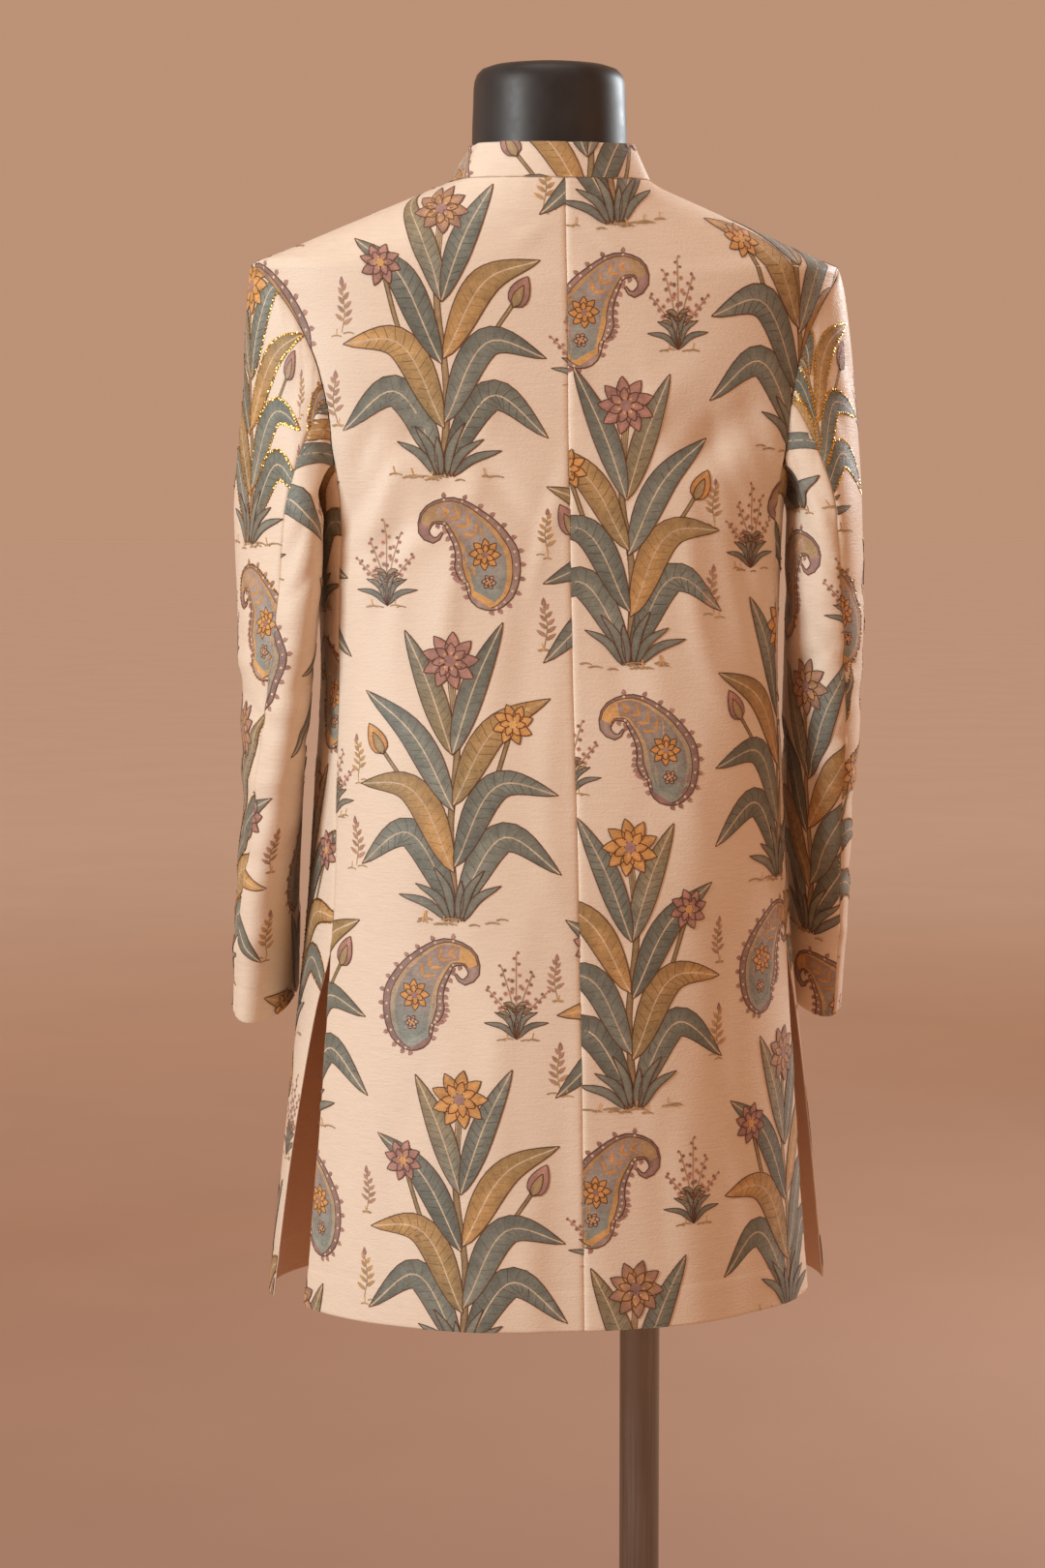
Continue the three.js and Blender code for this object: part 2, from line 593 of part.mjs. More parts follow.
// The form's own ring at one row: the panels' points, moved in, with plates for the arms.
function formRing(row) {
  const ringOf = (side) => {
    const back = Array.from({ length: BACK_COLUMNS + 1 }, (_, k) => backSpot(side, row, k));
    const chest = Array.from({ length: FRONT_COLUMNS - SIDE_COLUMNS }, (_, k) =>
      flatFrontSpot(side, row, k + SIDE_COLUMNS),
    );
    const inner = (spot) => {
      const level = ROW_LEVELS[row];
      const share = THREE.MathUtils.smoothstep(level, EASE_FROM, EASE_TO);
      const away = CLOTH + mix(FORM_EASE, REST_GAP, share);
      return spot.point.clone().addScaledVector(spot.normal, -away);
    };
    const [a, b] = [back.map(inner), chest.map(inner)];
    const plate = Array.from({ length: SIDE_COLUMNS - 1 }, (_, k) => {
      const t = (k + 1) / SIDE_COLUMNS;
      if (row < UNDERARM_ROW) return inner(flatFrontSpot(side, row, k + 1));
      return a[BACK_COLUMNS].clone().lerp(b[0], t);
    });
    return [...a, ...plate, ...b];
  };
  const [left, right] = [ringOf(1), ringOf(-1)];
  return { points: [...left, ...right.slice(1, -1).reverse()], mirrored: left.length - 1 };
}
function flatFrontSpot(side, row, column) {
  const { angle, level } = frontPlace(row, column);
  return bodySpot(onSide(side, angle), level, "halfFront");
}

function formTorso() {
  const rows = ROW_LEVELS.map((level, row) => ({ level, row })).filter(
    ({ level }) => level > FORM_BOTTOM,
  );
  const { points, mirrored } = formRing(TOP_ROW);
  const rightBack = points.length - BACK_COLUMNS;
  const climbs = (k) => (k < mirrored ? k >= BACK_COLUMNS : k >= rightBack);
  const rings = rows.map(({ row }) => formRing(row).points);
  rings.unshift(rings[0].map((point) => new THREE.Vector3(point.x, point.y, FORM_BOTTOM)));
  const seat = rings[rings.length - 1];
  for (const { rise, planar, half, deepBack, deepFront } of NECK) {
    rings.push(
      seat.map((point) => {
        const angle = Math.atan2(point.y, point.x);
        const deep = point.y > 0 ? deepBack : deepFront;
        return new THREE.Vector3(
          half * Math.cos(angle), deep * Math.sin(angle), planar || point.z + rise,
        );
      }),
    );
  }
  const bottom = new THREE.Vector3(0, 0, FORM_BOTTOM);
  return loft(rings, climbs, bottom, new THREE.Vector3(0, 0, NECK_TOP));
}

const root = new THREE.Group();
function add(name, geometry, material) {
  const mesh = new THREE.Mesh(geometry, material);
  mesh.name = name;
  root.add(mesh);
  return mesh;
}

for (const [side, name, table, hind] of [
  [1, "left", LEFT_SLEEVE, LEFT_HIND],
  [-1, "right", RIGHT_SLEEVE, RIGHT_HIND],
]) {
  add("back_" + name, backPanel(side), cloth);
  add("front_" + name, frontPanel(side), cloth);
  const made = sleeveRows(side, table, hind);
  const spots = foldSleeve(made, side);
  add("top_sleeve_" + name, sleevePanel(spots, made.forearmIndex, made.hindIndex), cloth);
  add("under_sleeve_" + name, sleevePanel(spots, made.hindIndex, made.forearmIndex), cloth);
}
add("collar", collar(), cloth);

for (let k = 0; k < BUTTON_COUNT; k += 1) {
  const { point, normal } = lapSpot(BUTTON_TOP - k * BUTTON_STEP);
  const button = add("button_" + (k + 1), lathe(BUTTON_PROFILE, 12), covered);
  button.position.copy(point);
  button.quaternion.setFromUnitVectors(UP, normal);
}

add("form_torso", formTorso(), cover);
const cap = add("neck_cap", lathe(CAP_PROFILE, 36), cover);
cap.scale.y = CAP_DEPTH;
cap.position.set(0, CAP_Y, NECK_TOP + SEAM_GAP);

const flangeTop = FORM_BOTTOM - SEAM_GAP;
const flangeBottom = flangeTop - FLANGE_THICK;
const poleBottom = BASE_THICK + SEAM_GAP;
const poleLength = flangeBottom - SEAM_GAP - poleBottom;
const rod = (radius, length) => [[0, 0], [radius, 0], [radius, length], [0, length]];
const flange = add("form_flange", lathe(rod(FLANGE_RADIUS, FLANGE_THICK), 32), steel);
flange.position.set(POLE_X, 0, flangeBottom);
const pole = add("pole", lathe(rod(POLE_RADIUS, poleLength), 28), steel);
pole.position.set(POLE_X, 0, poleBottom);
const socket = add("base_socket", lathe(SOCKET_PROFILE, 28), steel);
socket.position.set(POLE_X, 0, poleBottom);
add("base_plate", lathe(PLATE_PROFILE, 48), steel);

export default root;
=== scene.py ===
"""A sherwani on a limbless dress form: its looks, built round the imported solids.

Lengths in the tables are millimetres, and levels are heights above the floor. Angles run
round the body from the wearer's left side (0) to the centre back (90). A side is 1 for the
left and -1 for the right. A panel is a dense grid of points over its solid, and the print is
laid on the panels from one flat design.
"""

import functools
import math

import bpy
import numpy as np
from mathutils import Matrix, Vector
from mathutils.bvhtree import BVHTree


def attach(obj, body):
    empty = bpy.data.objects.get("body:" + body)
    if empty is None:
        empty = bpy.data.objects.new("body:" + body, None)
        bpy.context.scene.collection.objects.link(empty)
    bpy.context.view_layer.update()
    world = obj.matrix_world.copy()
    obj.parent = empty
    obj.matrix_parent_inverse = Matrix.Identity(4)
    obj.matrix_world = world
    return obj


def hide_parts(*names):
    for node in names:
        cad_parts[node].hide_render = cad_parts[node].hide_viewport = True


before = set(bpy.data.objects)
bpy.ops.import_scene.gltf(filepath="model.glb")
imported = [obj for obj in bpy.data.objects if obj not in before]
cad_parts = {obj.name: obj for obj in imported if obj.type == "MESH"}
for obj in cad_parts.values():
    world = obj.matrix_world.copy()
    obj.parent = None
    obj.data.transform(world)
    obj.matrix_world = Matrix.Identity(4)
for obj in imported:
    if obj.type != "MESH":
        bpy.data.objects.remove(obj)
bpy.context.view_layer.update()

MM = 0.001
PITCH = 5.5  # the panels' point spacing
CLOSE = (0.7, 2.2)  # the extra points beside a panel's edges
CLOTH, COLLAR_CLOTH = 1.3, 2.2  # how thick they are
SEAM_GAP, SEAM_WIDTH, SEAM_DEPTH, ARMHOLE_DEPTH, STITCH_WIDTH = 0.12, 1.5, 1.1, 0.4, 1.6
OVERLAP, LAP_LIFT = 18, 2.1  # how far the left front laps past the centre, and stands off
BUTTON_TOP, BUTTON_STEP, BUTTON_COUNT = 1418, 82, 7
TIP_LEVEL, UNDERARM_LEVEL, PLAIN_LEVEL, HEM_LEVEL, TOP_LEVEL = 1420, 1276, 1185, 604, 1500
VENT_LEVEL = 895  # the side-back seams are open below it
SLEEVE_TOP = 1232  # the first plain section below the sleeve head
HEM_TURN, CUFF_TURN, COLLAR_RISE = 32, 30, 28
MAP_WIDTH, MAP_FOOT, COLLAR_LEVEL = 1100, 560, 900  # in the print's flat design
CORNER_ANGLE = -10  # where the armhole's floor meets the front's plain part
LAP_PLACES = (46, OVERLAP + 3, 0, -OVERLAP)  # from the chest to the left front's edge
# The armhole's own rows, down the back.
ARM_LEVELS = (TIP_LEVEL, 1409, 1393, 1373, 1350, 1325, 1300, UNDERARM_LEVEL)

# The profiles of the turned pieces: radius and height. The button's height is along its axis.
CAP = (
    (0, 1506), (62.6, 1506), (63, 1507), (62.5, 1525), (62, 1548), (61.4, 1562), (61, 1576),
    (60.3, 1582), (58.4, 1587.2), (54.6, 1591.2), (47, 1593.9), (32, 1595.8), (15, 1596.8),
    (0, 1597),
)
TUBE = ((0, 10.3), (16.5, 10.3), (16.5, 903.4), (0, 903.4))
FLANGE = ((0, 903.7), (48, 903.7), (48, 911.7), (0, 911.7))
SOCKET = (
    (16.8, 10.3), (34, 10.3), (34, 15.3), (24, 19.3), (22, 44.3), (16.8, 44.3), (16.8, 10.3),
)
PLATE = ((0, 0), (188, 0), (190, 2), (190, 7), (187, 10), (0, 10))
BUTTON = ((0, 0), (7.4, 0), (9.1, 0.7), (9.5, 1.9), (8.9, 3.6), (6.4, 5.5), (3.2, 6.4), (0, 6.7))

# --- the garment's shape -------------------------------------------------------------


def curve(places, values):
    """A smooth curve through a table that never swings past its rows."""
    x, y = np.array(places, float), np.array(values, float)
    if x[0] > x[-1]:
        x, y = x[::-1], y[::-1]
    rise = np.diff(y) / np.diff(x)
    a, b = rise[:-1], rise[1:]
    total = np.where(a + b == 0, 1, a + b)
    middle = np.where(a * b <= 0, 0, 2 * a * b / total)
    slope = np.concatenate([rise[:1], middle, rise[-1:]])

    def at(place):
        place = np.asarray(place, float)
        i = np.clip(np.searchsorted(x, place, side="right") - 1, 0, len(x) - 2)
        span = x[i + 1] - x[i]
        t = np.clip((place - x[i]) / span, 0, 1)
        return hermite(y[i], slope[i] * span, y[i + 1], slope[i + 1] * span, t)

    return at


def hermite(start, leave, end, arrive, t):
    t2, t3 = t * t, t * t * t
    return (
        start * (2 * t3 - 3 * t2 + 1)
        + leave * (t3 - 2 * t2 + t)
        + end * (3 * t2 - 2 * t3)
        + arrive * (t3 - t2)
    )


def mix(a, b, t):
    return a + (b - a) * t


def ease(t):
    t = np.clip(t, 0, 1)
    return t * t * (3 - 2 * t)


def unit(v):
    return v / np.maximum(np.linalg.norm(v, axis=-1, keepdims=True), 1e-12)


# The body's sections: the level at the centre back, at the side and at the centre front, half
# the width for the back and the front, the depths to both, and how boxy each half is.
RINGS = np.array([
    (604, 604, 604, 216, 230, 174, 150, 2.1, 2.2),
    (700, 700, 700, 209, 220, 167, 146, 2.1, 2.2),
    (800, 800, 800, 204, 209, 159, 140, 2.1, 2.2),
    (895, 895, 895, 199, 199, 149, 133, 2.15, 2.2),
    (958, 958, 958, 194, 194, 142, 127, 2.3, 2.3),
    (1035, 1035, 1035, 189, 189, 130, 118, 2.6, 2.5),
    (1110, 1110, 1110, 185, 185, 116, 109, 2.8, 2.6),
    (1185, 1185, 1185, 187, 187, 107, 112, 2.9, 2.6),
    (1235, 1235, 1235, 189, 189, 102, 117, 3.0, 2.5),
    (1262, 1262, 1262, 194, 194, 99, 118, 3.0, 2.5),
    (1307, 1307, 1305, 214, 214, 94, 116, 2.6, 2.4),
    (1343, 1345, 1336, 222, 222, 92, 111, 2.45, 2.3),
    (1383, 1389, 1366, 228, 228, 90, 104, 2.3, 2.2),
    (1420, 1436, 1396, 238, 238, 88, 94, 2.15, 2.1),
    (1425, 1440, 1399, 228, 228, 87, 92, 2.1, 2.1),
    (1447, 1460, 1412, 180, 180, 84, 85, 2.1, 2.05),
    (1476, 1483, 1428, 126, 126, 81, 77, 2.05, 2),
    (1500, 1502, 1440, 80, 80, 78, 71, 2, 2),
])
RING_NAMES = (
    "side", "front", "half_back", "half_front", "deep_back", "deep_front", "box_back",
    "box_front",
)
RING = {name: curve(RINGS[:, 0], RINGS[:, k + 1]) for k, name in enumerate(RING_NAMES)}


def table(*rows):
    return curve([row[0] for row in rows], [row[1] for row in rows])


BACK_EDGE = table(
    (604, 14.4), (700, 15.8), (800, 17.2), (895, 18), (958, 18.1), (1035, 17.5), (1110, 16.4),
    (1185, 16.8), (1235, 17.8), (1276, 18.4), (1307, 18.2), (1345, 16.4), (1380, 12.4),
    (1405, 7.2), (1420, 1), (1430, 0), (1500, 0),
)
FRONT_EDGE = table(
    (604, 4.1), (700, 6.6), (785, 10.2), (844, 13.6), (880, 17), (895, 18), (958, 18.1),
    (1035, 17.5), (1110, 16.4), (1185, 16.8), (1235, 17.8), (1276, 18.4),
)
ARMHOLE_FRONT = table(
    (1262, -10), (1275, -14.5), (1298, -18), (1325, -19), (1352, -17.5), (1380, -12.5),
    (1403, -6.5), (1420, 1), (1430, 0), (1500, 0),
)
ARMHOLE_FLOOR = table(
    (-90, 1268), (-30, 1268), (-10, 1262), (-3, 1257), (5, 1256), (12, 1262), (18.4, 1276)
)
ARMHOLE_TURN = table(
    (UNDERARM_LEVEL, CORNER_ANGLE),
    *((row, float(ARMHOLE_FRONT(row - 6))) for row in ARM_LEVELS[-2:0:-1]),
    (1420, 1), (1430, 0), (1500, 0),
)

# Folds of the body: where each lies round and up, how it runs, half its length and width,
# and how far it stands out. The first twelve are the solids' own.
BODY_FOLDS = (
    (27, 1262, 62, 70, 17, -3.2), (38, 1240, 50, 60, 16, -2.2),
    (150, 1258, 118, 75, 17, -3.2), (141, 1225, 128, 60, 15, -2.2),
    (-34, 1250, 118, 60, 17, -2.5), (-146, 1250, 62, 60, 17, -2.5),
    (62, 640, 90, 120, 30, 3), (84, 630, 90, 130, 22, -2.5),
    (118, 640, 92, 140, 28, 3.5), (138, 640, 88, 100, 20, -3),
    (-40, 640, 90, 130, 28, 3), (-140, 640, 90, 130, 28, 3),
)
SLEEVE_FOLDS = (
    (20, 1095, 12, 60, 12, -2.5), (60, 1120, -16, 60, 12, -2), (30, 1010, 10, 70, 13, -2.4),
    (250, 1060, 20, 55, 14, -3), (200, 1180, 30, 50, 14, -2),
)
FOLD_RADIUS, SLEEVE_RADIUS = 185, 45  # they turn a fold's degrees into lengths
CREASE = 1.5  # how much deeper the small creases are than their tables say
BOW = 0.0016  # how much they bend
DENSE = 4  # columns of a sleeve's head to each of the solid's

# Smaller creases that the solids leave out, in the same terms.
BODY_CREASES = (
    (37, 1302, -36, 44, 15, -3.6), (53, 1322, -28, 60, 17, 1.9), (60, 1262, -42, 54, 13, -2.0),
    (143, 1292, 38, 46, 15, -3.8), (127, 1318, 30, 58, 17, 1.8), (119, 1256, 46, 52, 13, -2.0),
    (31, 1200, 80, 64, 11, -2.6), (47, 1168, 84, 70, 10, 1.6), (150, 1188, 98, 64, 11, -2.8),
    (134, 1160, 96, 72, 10, 1.6), (78, 1214, 64, 60, 10, 1.1), (101, 1206, 112, 56, 10, -1.2),
    (70, 1452, 20, 34, 7, 0.9), (112, 1450, 160, 34, 7, 0.9), (90, 1478, 2, 60, 6, -0.7),
    (38, 1180, 84, 70, 15, -1.6),
    (142, 1172, 98, 70, 15, -1.7), (60, 1090, 80, 90, 17, 1.1), (122, 1060, 100, 90, 17, 1.2),
    (25, 1288, 74, 34, 6, -1.9), (31, 1262, 66, 38, 6, 1.1), (35, 1300, 80, 26, 5, -1.2),
    (23, 1240, 52, 30, 6, -1.5), (44, 1226, 40, 40, 8, 1.0), (29, 1214, 30, 34, 7, -1.2),
    (155, 1292, 106, 36, 6, -2.0), (149, 1270, 114, 40, 6, 1.2), (145, 1298, 100, 28, 6, -1.3),
    (157, 1244, 128, 34, 7, -1.7), (139, 1228, 142, 44, 8, 1.1), (152, 1206, 150, 36, 7, -1.3),
    (128, 1300, 108, 46, 11, 1.0), (54, 1298, 72, 44, 11, 0.9), (95, 1360, 88, 60, 16, 0.8),
    (72, 1180, 80, 90, 16, -0.9), (108, 1120, 96, 110, 18, -1.0), (80, 1010, 92, 120, 16, 0.9),
    (125, 960, 86, 120, 20, 1.2), (50, 940, 94, 130, 18, -1.3), (101, 860, 90, 130, 14, -1.1),
    (66, 800, 88, 120, 15, 1.1), (132, 790, 93, 110, 15, -1.4), (90, 760, 91, 130, 12, 0.9),
    (40, 700, 88, 100, 14, -1.2), (112, 690, 91, 90, 13, -1.1), (76, 655, 90, 80, 12, 1.2),
    (-20, 1240, 120, 40, 8, -1.4), (-28, 1280, 104, 44, 9, -1.2), (-48, 1290, 112, 60, 13, 0.9),
    (-160, 1240, 60, 40, 8, -1.4), (-152, 1280, 76, 44, 9, -1.2), (-130, 1292, 68, 60, 13, 0.9),
    (-60, 1120, 94, 120, 17, -1.0), (-122, 1090, 86, 120, 17, -1.1), (-30, 980, 88, 120, 16, 1.1),
    (-150, 960, 92, 120, 16, 1.1), (-66, 840, 90, 120, 15, 1.1), (-116, 800, 90, 120, 14, -1.2),
    (-20, 760, 92, 120, 14, -1.2), (-160, 740, 88, 120, 14, -1.1), (-50, 690, 91, 90, 14, -1.1),
)
SLEEVE_CREASES = {
    1: (
        (10, 1352, 70, 26, 5, -1.3), (35, 1340, 82, 30, 5, -1.2), (-20, 1350, 100, 26, 5, -1.2),
        (60, 1300, 110, 40, 8, -1.2), (70, 1216, 62, 36, 7, -1.5), (95, 1190, 40, 34, 6, -1.3),
        (48, 1150, -24, 36, 6, -1.5), (30, 1122, 8, 40, 6, 1.2), (52, 1080, -14, 36, 6, -1.6),
        (18, 1052, 20, 38, 7, -1.3), (64, 1034, 6, 30, 6, 1.1), (40, 980, -20, 40, 8, -1.3),
        (8, 940, 14, 40, 8, -1.1), (60, 900, 24, 42, 9, 1.1), (-40, 1100, 14, 46, 8, -1.4),
        (-70, 1060, -12, 40, 7, -1.5), (-50, 1000, 18, 44, 8, -1.2), (130, 1110, 20, 36, 7, -1.3),
        (160, 1060, -18, 40, 7, -1.4), (120, 980, 14, 40, 8, -1.1),
    ),
    -1: (
        (14, 1356, 74, 26, 5, -1.4), (40, 1338, 84, 30, 5, -1.3), (-18, 1352, 98, 26, 5, -1.2),
        (66, 1308, 108, 42, 8, -1.3), (84, 1240, 66, 40, 7, -1.6), (100, 1206, 44, 34, 6, -1.3),
        (58, 1168, -18, 38, 7, -1.3), (86, 1130, 26, 38, 6, -1.6), (60, 1104, 4, 40, 6, 1.1),
        (80, 1066, -16, 38, 6, -1.6), (34, 1040, 16, 40, 7, -1.2), (74, 1000, 18, 36, 7, -1.3),
        (56, 950, -12, 42, 8, -1.1), (88, 915, 22, 40, 8, 1.2), (-36, 1110, -12, 46, 8, -1.3),
        (-64, 1052, 14, 40, 7, -1.5), (-44, 980, -16, 44, 8, -1.2), (134, 1120, -20, 36, 7, -1.3),
        (150, 1040, 16, 40, 7, -1.4), (124, 960, -12, 40, 8, -1.1),
    ),
}

# Sleeve sections: height, x, y, thin, broad, turn, pitch. 1 is the left one, -1 the right.
SLEEVES = {
    1: (
        (1232, 221, 14, 27, 68, -17, 0), (1188, 221, 14, 28, 67, -14, 1),
        (1126, 223, 12, 28, 65, -8, 3), (1063, 224, 6, 26.5, 62, 0, 8),
        (994, 226, -4, 24.5, 60, 8, 13), (935, 228, -19, 24, 58, 15, 16),
        (843, 228, -47, 23, 58, 20, 18),
    ),
    -1: (
        (1232, 226, 14, 31, 67, -12, 0), (1188, 226, 14, 32, 66, -10, 1),
        (1126, 227, 12, 32, 64, -6, 3), (1063, 226, 6, 30, 62, -2, 8),
        (994, 226, -4, 27, 60, 0, 13), (935, 229, -19, 24.5, 58, 1, 16),
        (839, 231, -47, 23, 58, 2, 18),
    ),
}
HIND, FOREARM = {1: 50, -1: 72}, 242  # the turns of a sleeve's two seams below its head
SEAM_AT_BACK, SEAM_AT_FRONT = 92, 235  # and round the armhole
SLEEVE_SPREAD, SLEEVE_LEAVE, SLEEVE_FALL = 0.5, 24, 0.9  # how the head leaves the armhole
SLEEVE_GAP, TIP_GAP = 0.12, 0.2
SHOULDER_STEPS = (-24, -16, -8, 0, 8, 16, 24)  # the shoulders are rounded over these levels


def fold_depth(folds, angle, level, radius, bow=0.0):
    """How far a table's folds stand out at each place, each fold bent a little by bow."""
    depth = np.zeros(np.broadcast(angle, level).shape)
    for where, height, tilt, length, width, out in folds:
        turn = (angle - where + 180) % 360 - 180
        across, up = np.radians(turn) * radius, level - height
        c, s = math.cos(math.radians(tilt)), math.sin(math.radians(tilt))
        along, off = across * c + up * s, up * c - across * s
        off = off + bow * along * along * (1 if tilt > 60 else -1)
        depth += out * np.exp(-((along / length) ** 2) - (off / width) ** 2)
    return depth


def body_point(angle, level, half):
    """Points of the body's plain form. half says whose width counts, half_back or half_front.
    A level is the row's height at the centre back, and the row rises and sinks round it."""
    angle, level = np.broadcast_arrays(np.asarray(angle, float), np.asarray(level, float))
    c, s = np.cos(np.radians(angle)), np.sin(np.radians(angle))
    back = s > 0
    box = np.where(back, RING["box_back"](level), RING["box_front"](level))
    deep = np.where(back, RING["deep_back"](level), RING["deep_front"](level))
    sharp = ease((np.abs(c) - 0.8) / 0.18)
    spread = [RING[half](np.clip(level + step, HEM_LEVEL, TOP_LEVEL)) for step in SHOULDER_STEPS]
    half_width = mix(np.mean(spread, axis=0), RING[half](level), sharp)
    wide, thick = np.abs(c) / half_width, np.abs(s) / deep
    radius = (wide**box + thick**box) ** (-1 / box)
    side = RING["side"](level)
    end = np.where(back, level, RING["front"](level))
    return np.stack([radius * c, radius * s, mix(side, end, s * s)], axis=-1)


def body_spot(angle, level, half, lift=0.0, creases=True):
    """Points of the body's outer face with their normals, folds and all."""
    low, high = np.maximum(level - 2, HEM_LEVEL), np.minimum(level + 2, TOP_LEVEL)
    turned = body_point(angle + 0.5, level, half) - body_point(angle - 0.5, level, half)
    risen = body_point(angle, high, half) - body_point(angle, low, half)
    normal = unit(np.cross(turned, risen))
    out = fold_depth(BODY_FOLDS, angle, level, FOLD_RADIUS)
    if creases:
        fade = CREASE * ease((TOP_LEVEL - level) / 60)
        out = out + fade * fold_depth(BODY_CREASES, angle, level, FOLD_RADIUS, BOW)
    flat = unit(normal * np.array([1, 1, 0]))
    point = body_point(angle, level, half) + normal * out[..., None]
    sideways = np.sum(flat * normal, axis=-1, keepdims=True)
    return point + flat * (np.asarray(lift)[..., None] / sideways), normal


def on_side(side, angle):
    return angle if side > 0 else 180 - angle


def gap_angle(level, along):
    """Half a seam's gap as an angle."""
    return np.degrees(SEAM_GAP / 2 / RING[along](level))


def back_angle(level, share):
    edge = BACK_EDGE(level) + gap_angle(level, "half_back")
    return mix(90 - gap_angle(level, "deep_back"), edge, share)


def front_place(nominal, q):
    """A place of the front panel: q runs 0-4 behind the armhole's corner, 4-10 to the lap and
    10-13 over it."""
    deep = RING["deep_front"](nominal)
    gap = gap_angle(nominal, "half_front")
    edge = FRONT_EDGE(nominal) - gap
    above = nominal > UNDERARM_LEVEL
    turn = np.where(above, ARMHOLE_TURN(nominal) - gap, CORNER_ANGLE)
    lap = -np.degrees(np.arccos(LAP_PLACES[0] / deep))
    behind = np.where(above, turn, mix(edge, turn, np.clip(q / 4, 0, 1)))
    chest = mix(turn, lap, np.clip((q - 4) / 6, 0, 1))
    x = np.interp(q, (10, 11, 12, 13), LAP_PLACES)
    over = -np.degrees(np.arccos(np.clip(x / deep, -1, 1)))
    angle = np.where(q <= 4, behind, np.where(q <= 10, chest, over))
    return angle, front_level(nominal, angle)


def front_level(nominal, angle):
    """The rows of a front, bent under the armhole's floor."""
    floor = ARMHOLE_FLOOR(angle)
    high = mix(floor, TIP_LEVEL, (nominal - UNDERARM_LEVEL) / (TIP_LEVEL - UNDERARM_LEVEL))
    share = (nominal - PLAIN_LEVEL) / (UNDERARM_LEVEL - PLAIN_LEVEL)
    low = mix(PLAIN_LEVEL, floor, share)
    level = np.where(nominal > UNDERARM_LEVEL, high, low)
    plain = (nominal <= PLAIN_LEVEL) | (nominal >= TIP_LEVEL)
    return np.where(plain, nominal, level)


def back_spot(side, level, share, creases=True):
    angle = on_side(side, back_angle(level, share))
    return body_spot(angle, level, "half_back", creases=creases)


def front_spot(side, nominal, q, creases=True):
    angle, level = front_place(nominal, q)
    lift = LAP_LIFT * ease(q - 10) if side > 0 else 0.0
    return body_spot(on_side(side, angle), level, "half_front", lift, creases)


def stations(*stops, pitch=PITCH):
    """Places from the first stop to the last, a pitch apart, with close ones at the stops."""
    places = list(stops)
    for low, high in zip(stops, stops[1:]):
        count = max(2, round((high - low) / pitch))
        places += list(np.linspace(low, high, count + 1)[1:-1])
        places += [low + step for step in CLOSE] + [high - step for step in CLOSE]
    kept = []
    for place in sorted(places):
        if not kept or place - kept[-1] > CLOSE[0] / 3:
            kept.append(place)
    return np.array(kept)


def shares(length, pitch=PITCH):
    """The same from 0 to 1 over a length."""
    return stations(0.0, length, pitch=pitch) / length


class Panel:
    """A sheet over a grid of points, and where the flat design falls on it."""

    def __init__(self, node, point, normal, across, along, cells=None):
        self.node, self.point, self.normal = node, point, normal
        self.across, self.along = across, along
        rows, columns = point.shape[:2]
        self.cells = np.ones((rows - 1, columns - 1), bool) if cells is None else cells

    def swell(self, out):
        self.point = self.point + self.normal * out[..., None]

    def press(self, distance, length, seed, depth=SEAM_DEPTH, ripple=0.35, reach=16.0):
        """Sinks a seam's edge into a groove, with ripples beside it."""
        groove = near(distance, SEAM_WIDTH)
        waves = ripple * pucker(length, seed) * near(distance, reach) * (1 - groove)
        self.swell(waves - depth * groove)


def near(distance, width):
    """1 on a line, falling away to both its sides."""
    return np.exp(-((distance / width) ** 2))


def lengths(points, axis):
    """How far along the grid each point lies, from the first row or column."""
    step = np.linalg.norm(np.diff(points, axis=axis), axis=-1)
    pad = [(0, 0), (0, 0)]
    pad[axis] = (1, 0)
    return np.cumsum(np.pad(step, pad), axis=axis)


def pucker(length, seed, wave=15.0):
    """Small uneven ripples along a seam."""
    a = np.sin(length / wave * 2 * math.pi + seed)
    b = np.sin(length / (wave * 1.71) * 2 * math.pi + 2.3 * seed)
    c = np.sin(length / (wave * 4.3) * 2 * math.pi + 1.7 * seed)
    return (a * (0.6 + 0.4 * c) + 0.6 * b) * 0.5


def panel_levels():
    """Rows of the body panels, close at the hem and the neck, through the armhole's own."""
    stops = (HEM_LEVEL + HEM_TURN, VENT_LEVEL, UNDERARM_LEVEL, TIP_LEVEL, TOP_LEVEL - 4)
    rows = [stations(HEM_LEVEL, stops[0])]
    rows += [np.linspace(a, b, round((b - a) / PITCH) + 1)[1:] for a, b in zip(stops, stops[1:])]
    return np.concatenate([*rows, [TOP_LEVEL - 1.5, TOP_LEVEL]])[:, None]


def side_seam(panel, level, from_edge, up, side, apart):
    """Presses the side-back seam, which is open below as a vent, and the hem's fold."""
    vent = apart * (1 - ease((level - VENT_LEVEL + 5) / 8))
    depth = mix(SEAM_DEPTH, ARMHOLE_DEPTH, ease((level - 1270) / 20))
    panel.press(from_edge + vent, up, 3.0 + side, depth)
    panel.swell(-0.28 * near(up - HEM_TURN, STITCH_WIDTH))


def back_panel(side, name):
    level = panel_levels()
    point, normal = back_spot(side, level, shares(265)[None, :])
    across, up = lengths(point, 1), lengths(point, 0)
    along = HEM_LEVEL + np.repeat(up[:, :1], point.shape[1], axis=1)
    panel = Panel("back_" + name, point, normal, across, along)
    panel.press(across, up, 1.0 + side, ripple=0.28)
    side_seam(panel, level, across[:, -1:] - across, up, side, 40)
    panel.press(up[-1:] - up, across, 5.0 + side, depth=0, ripple=0.25)
    return panel


def closest(values, wanted):
    return int(np.argmin(np.abs(values - wanted)))


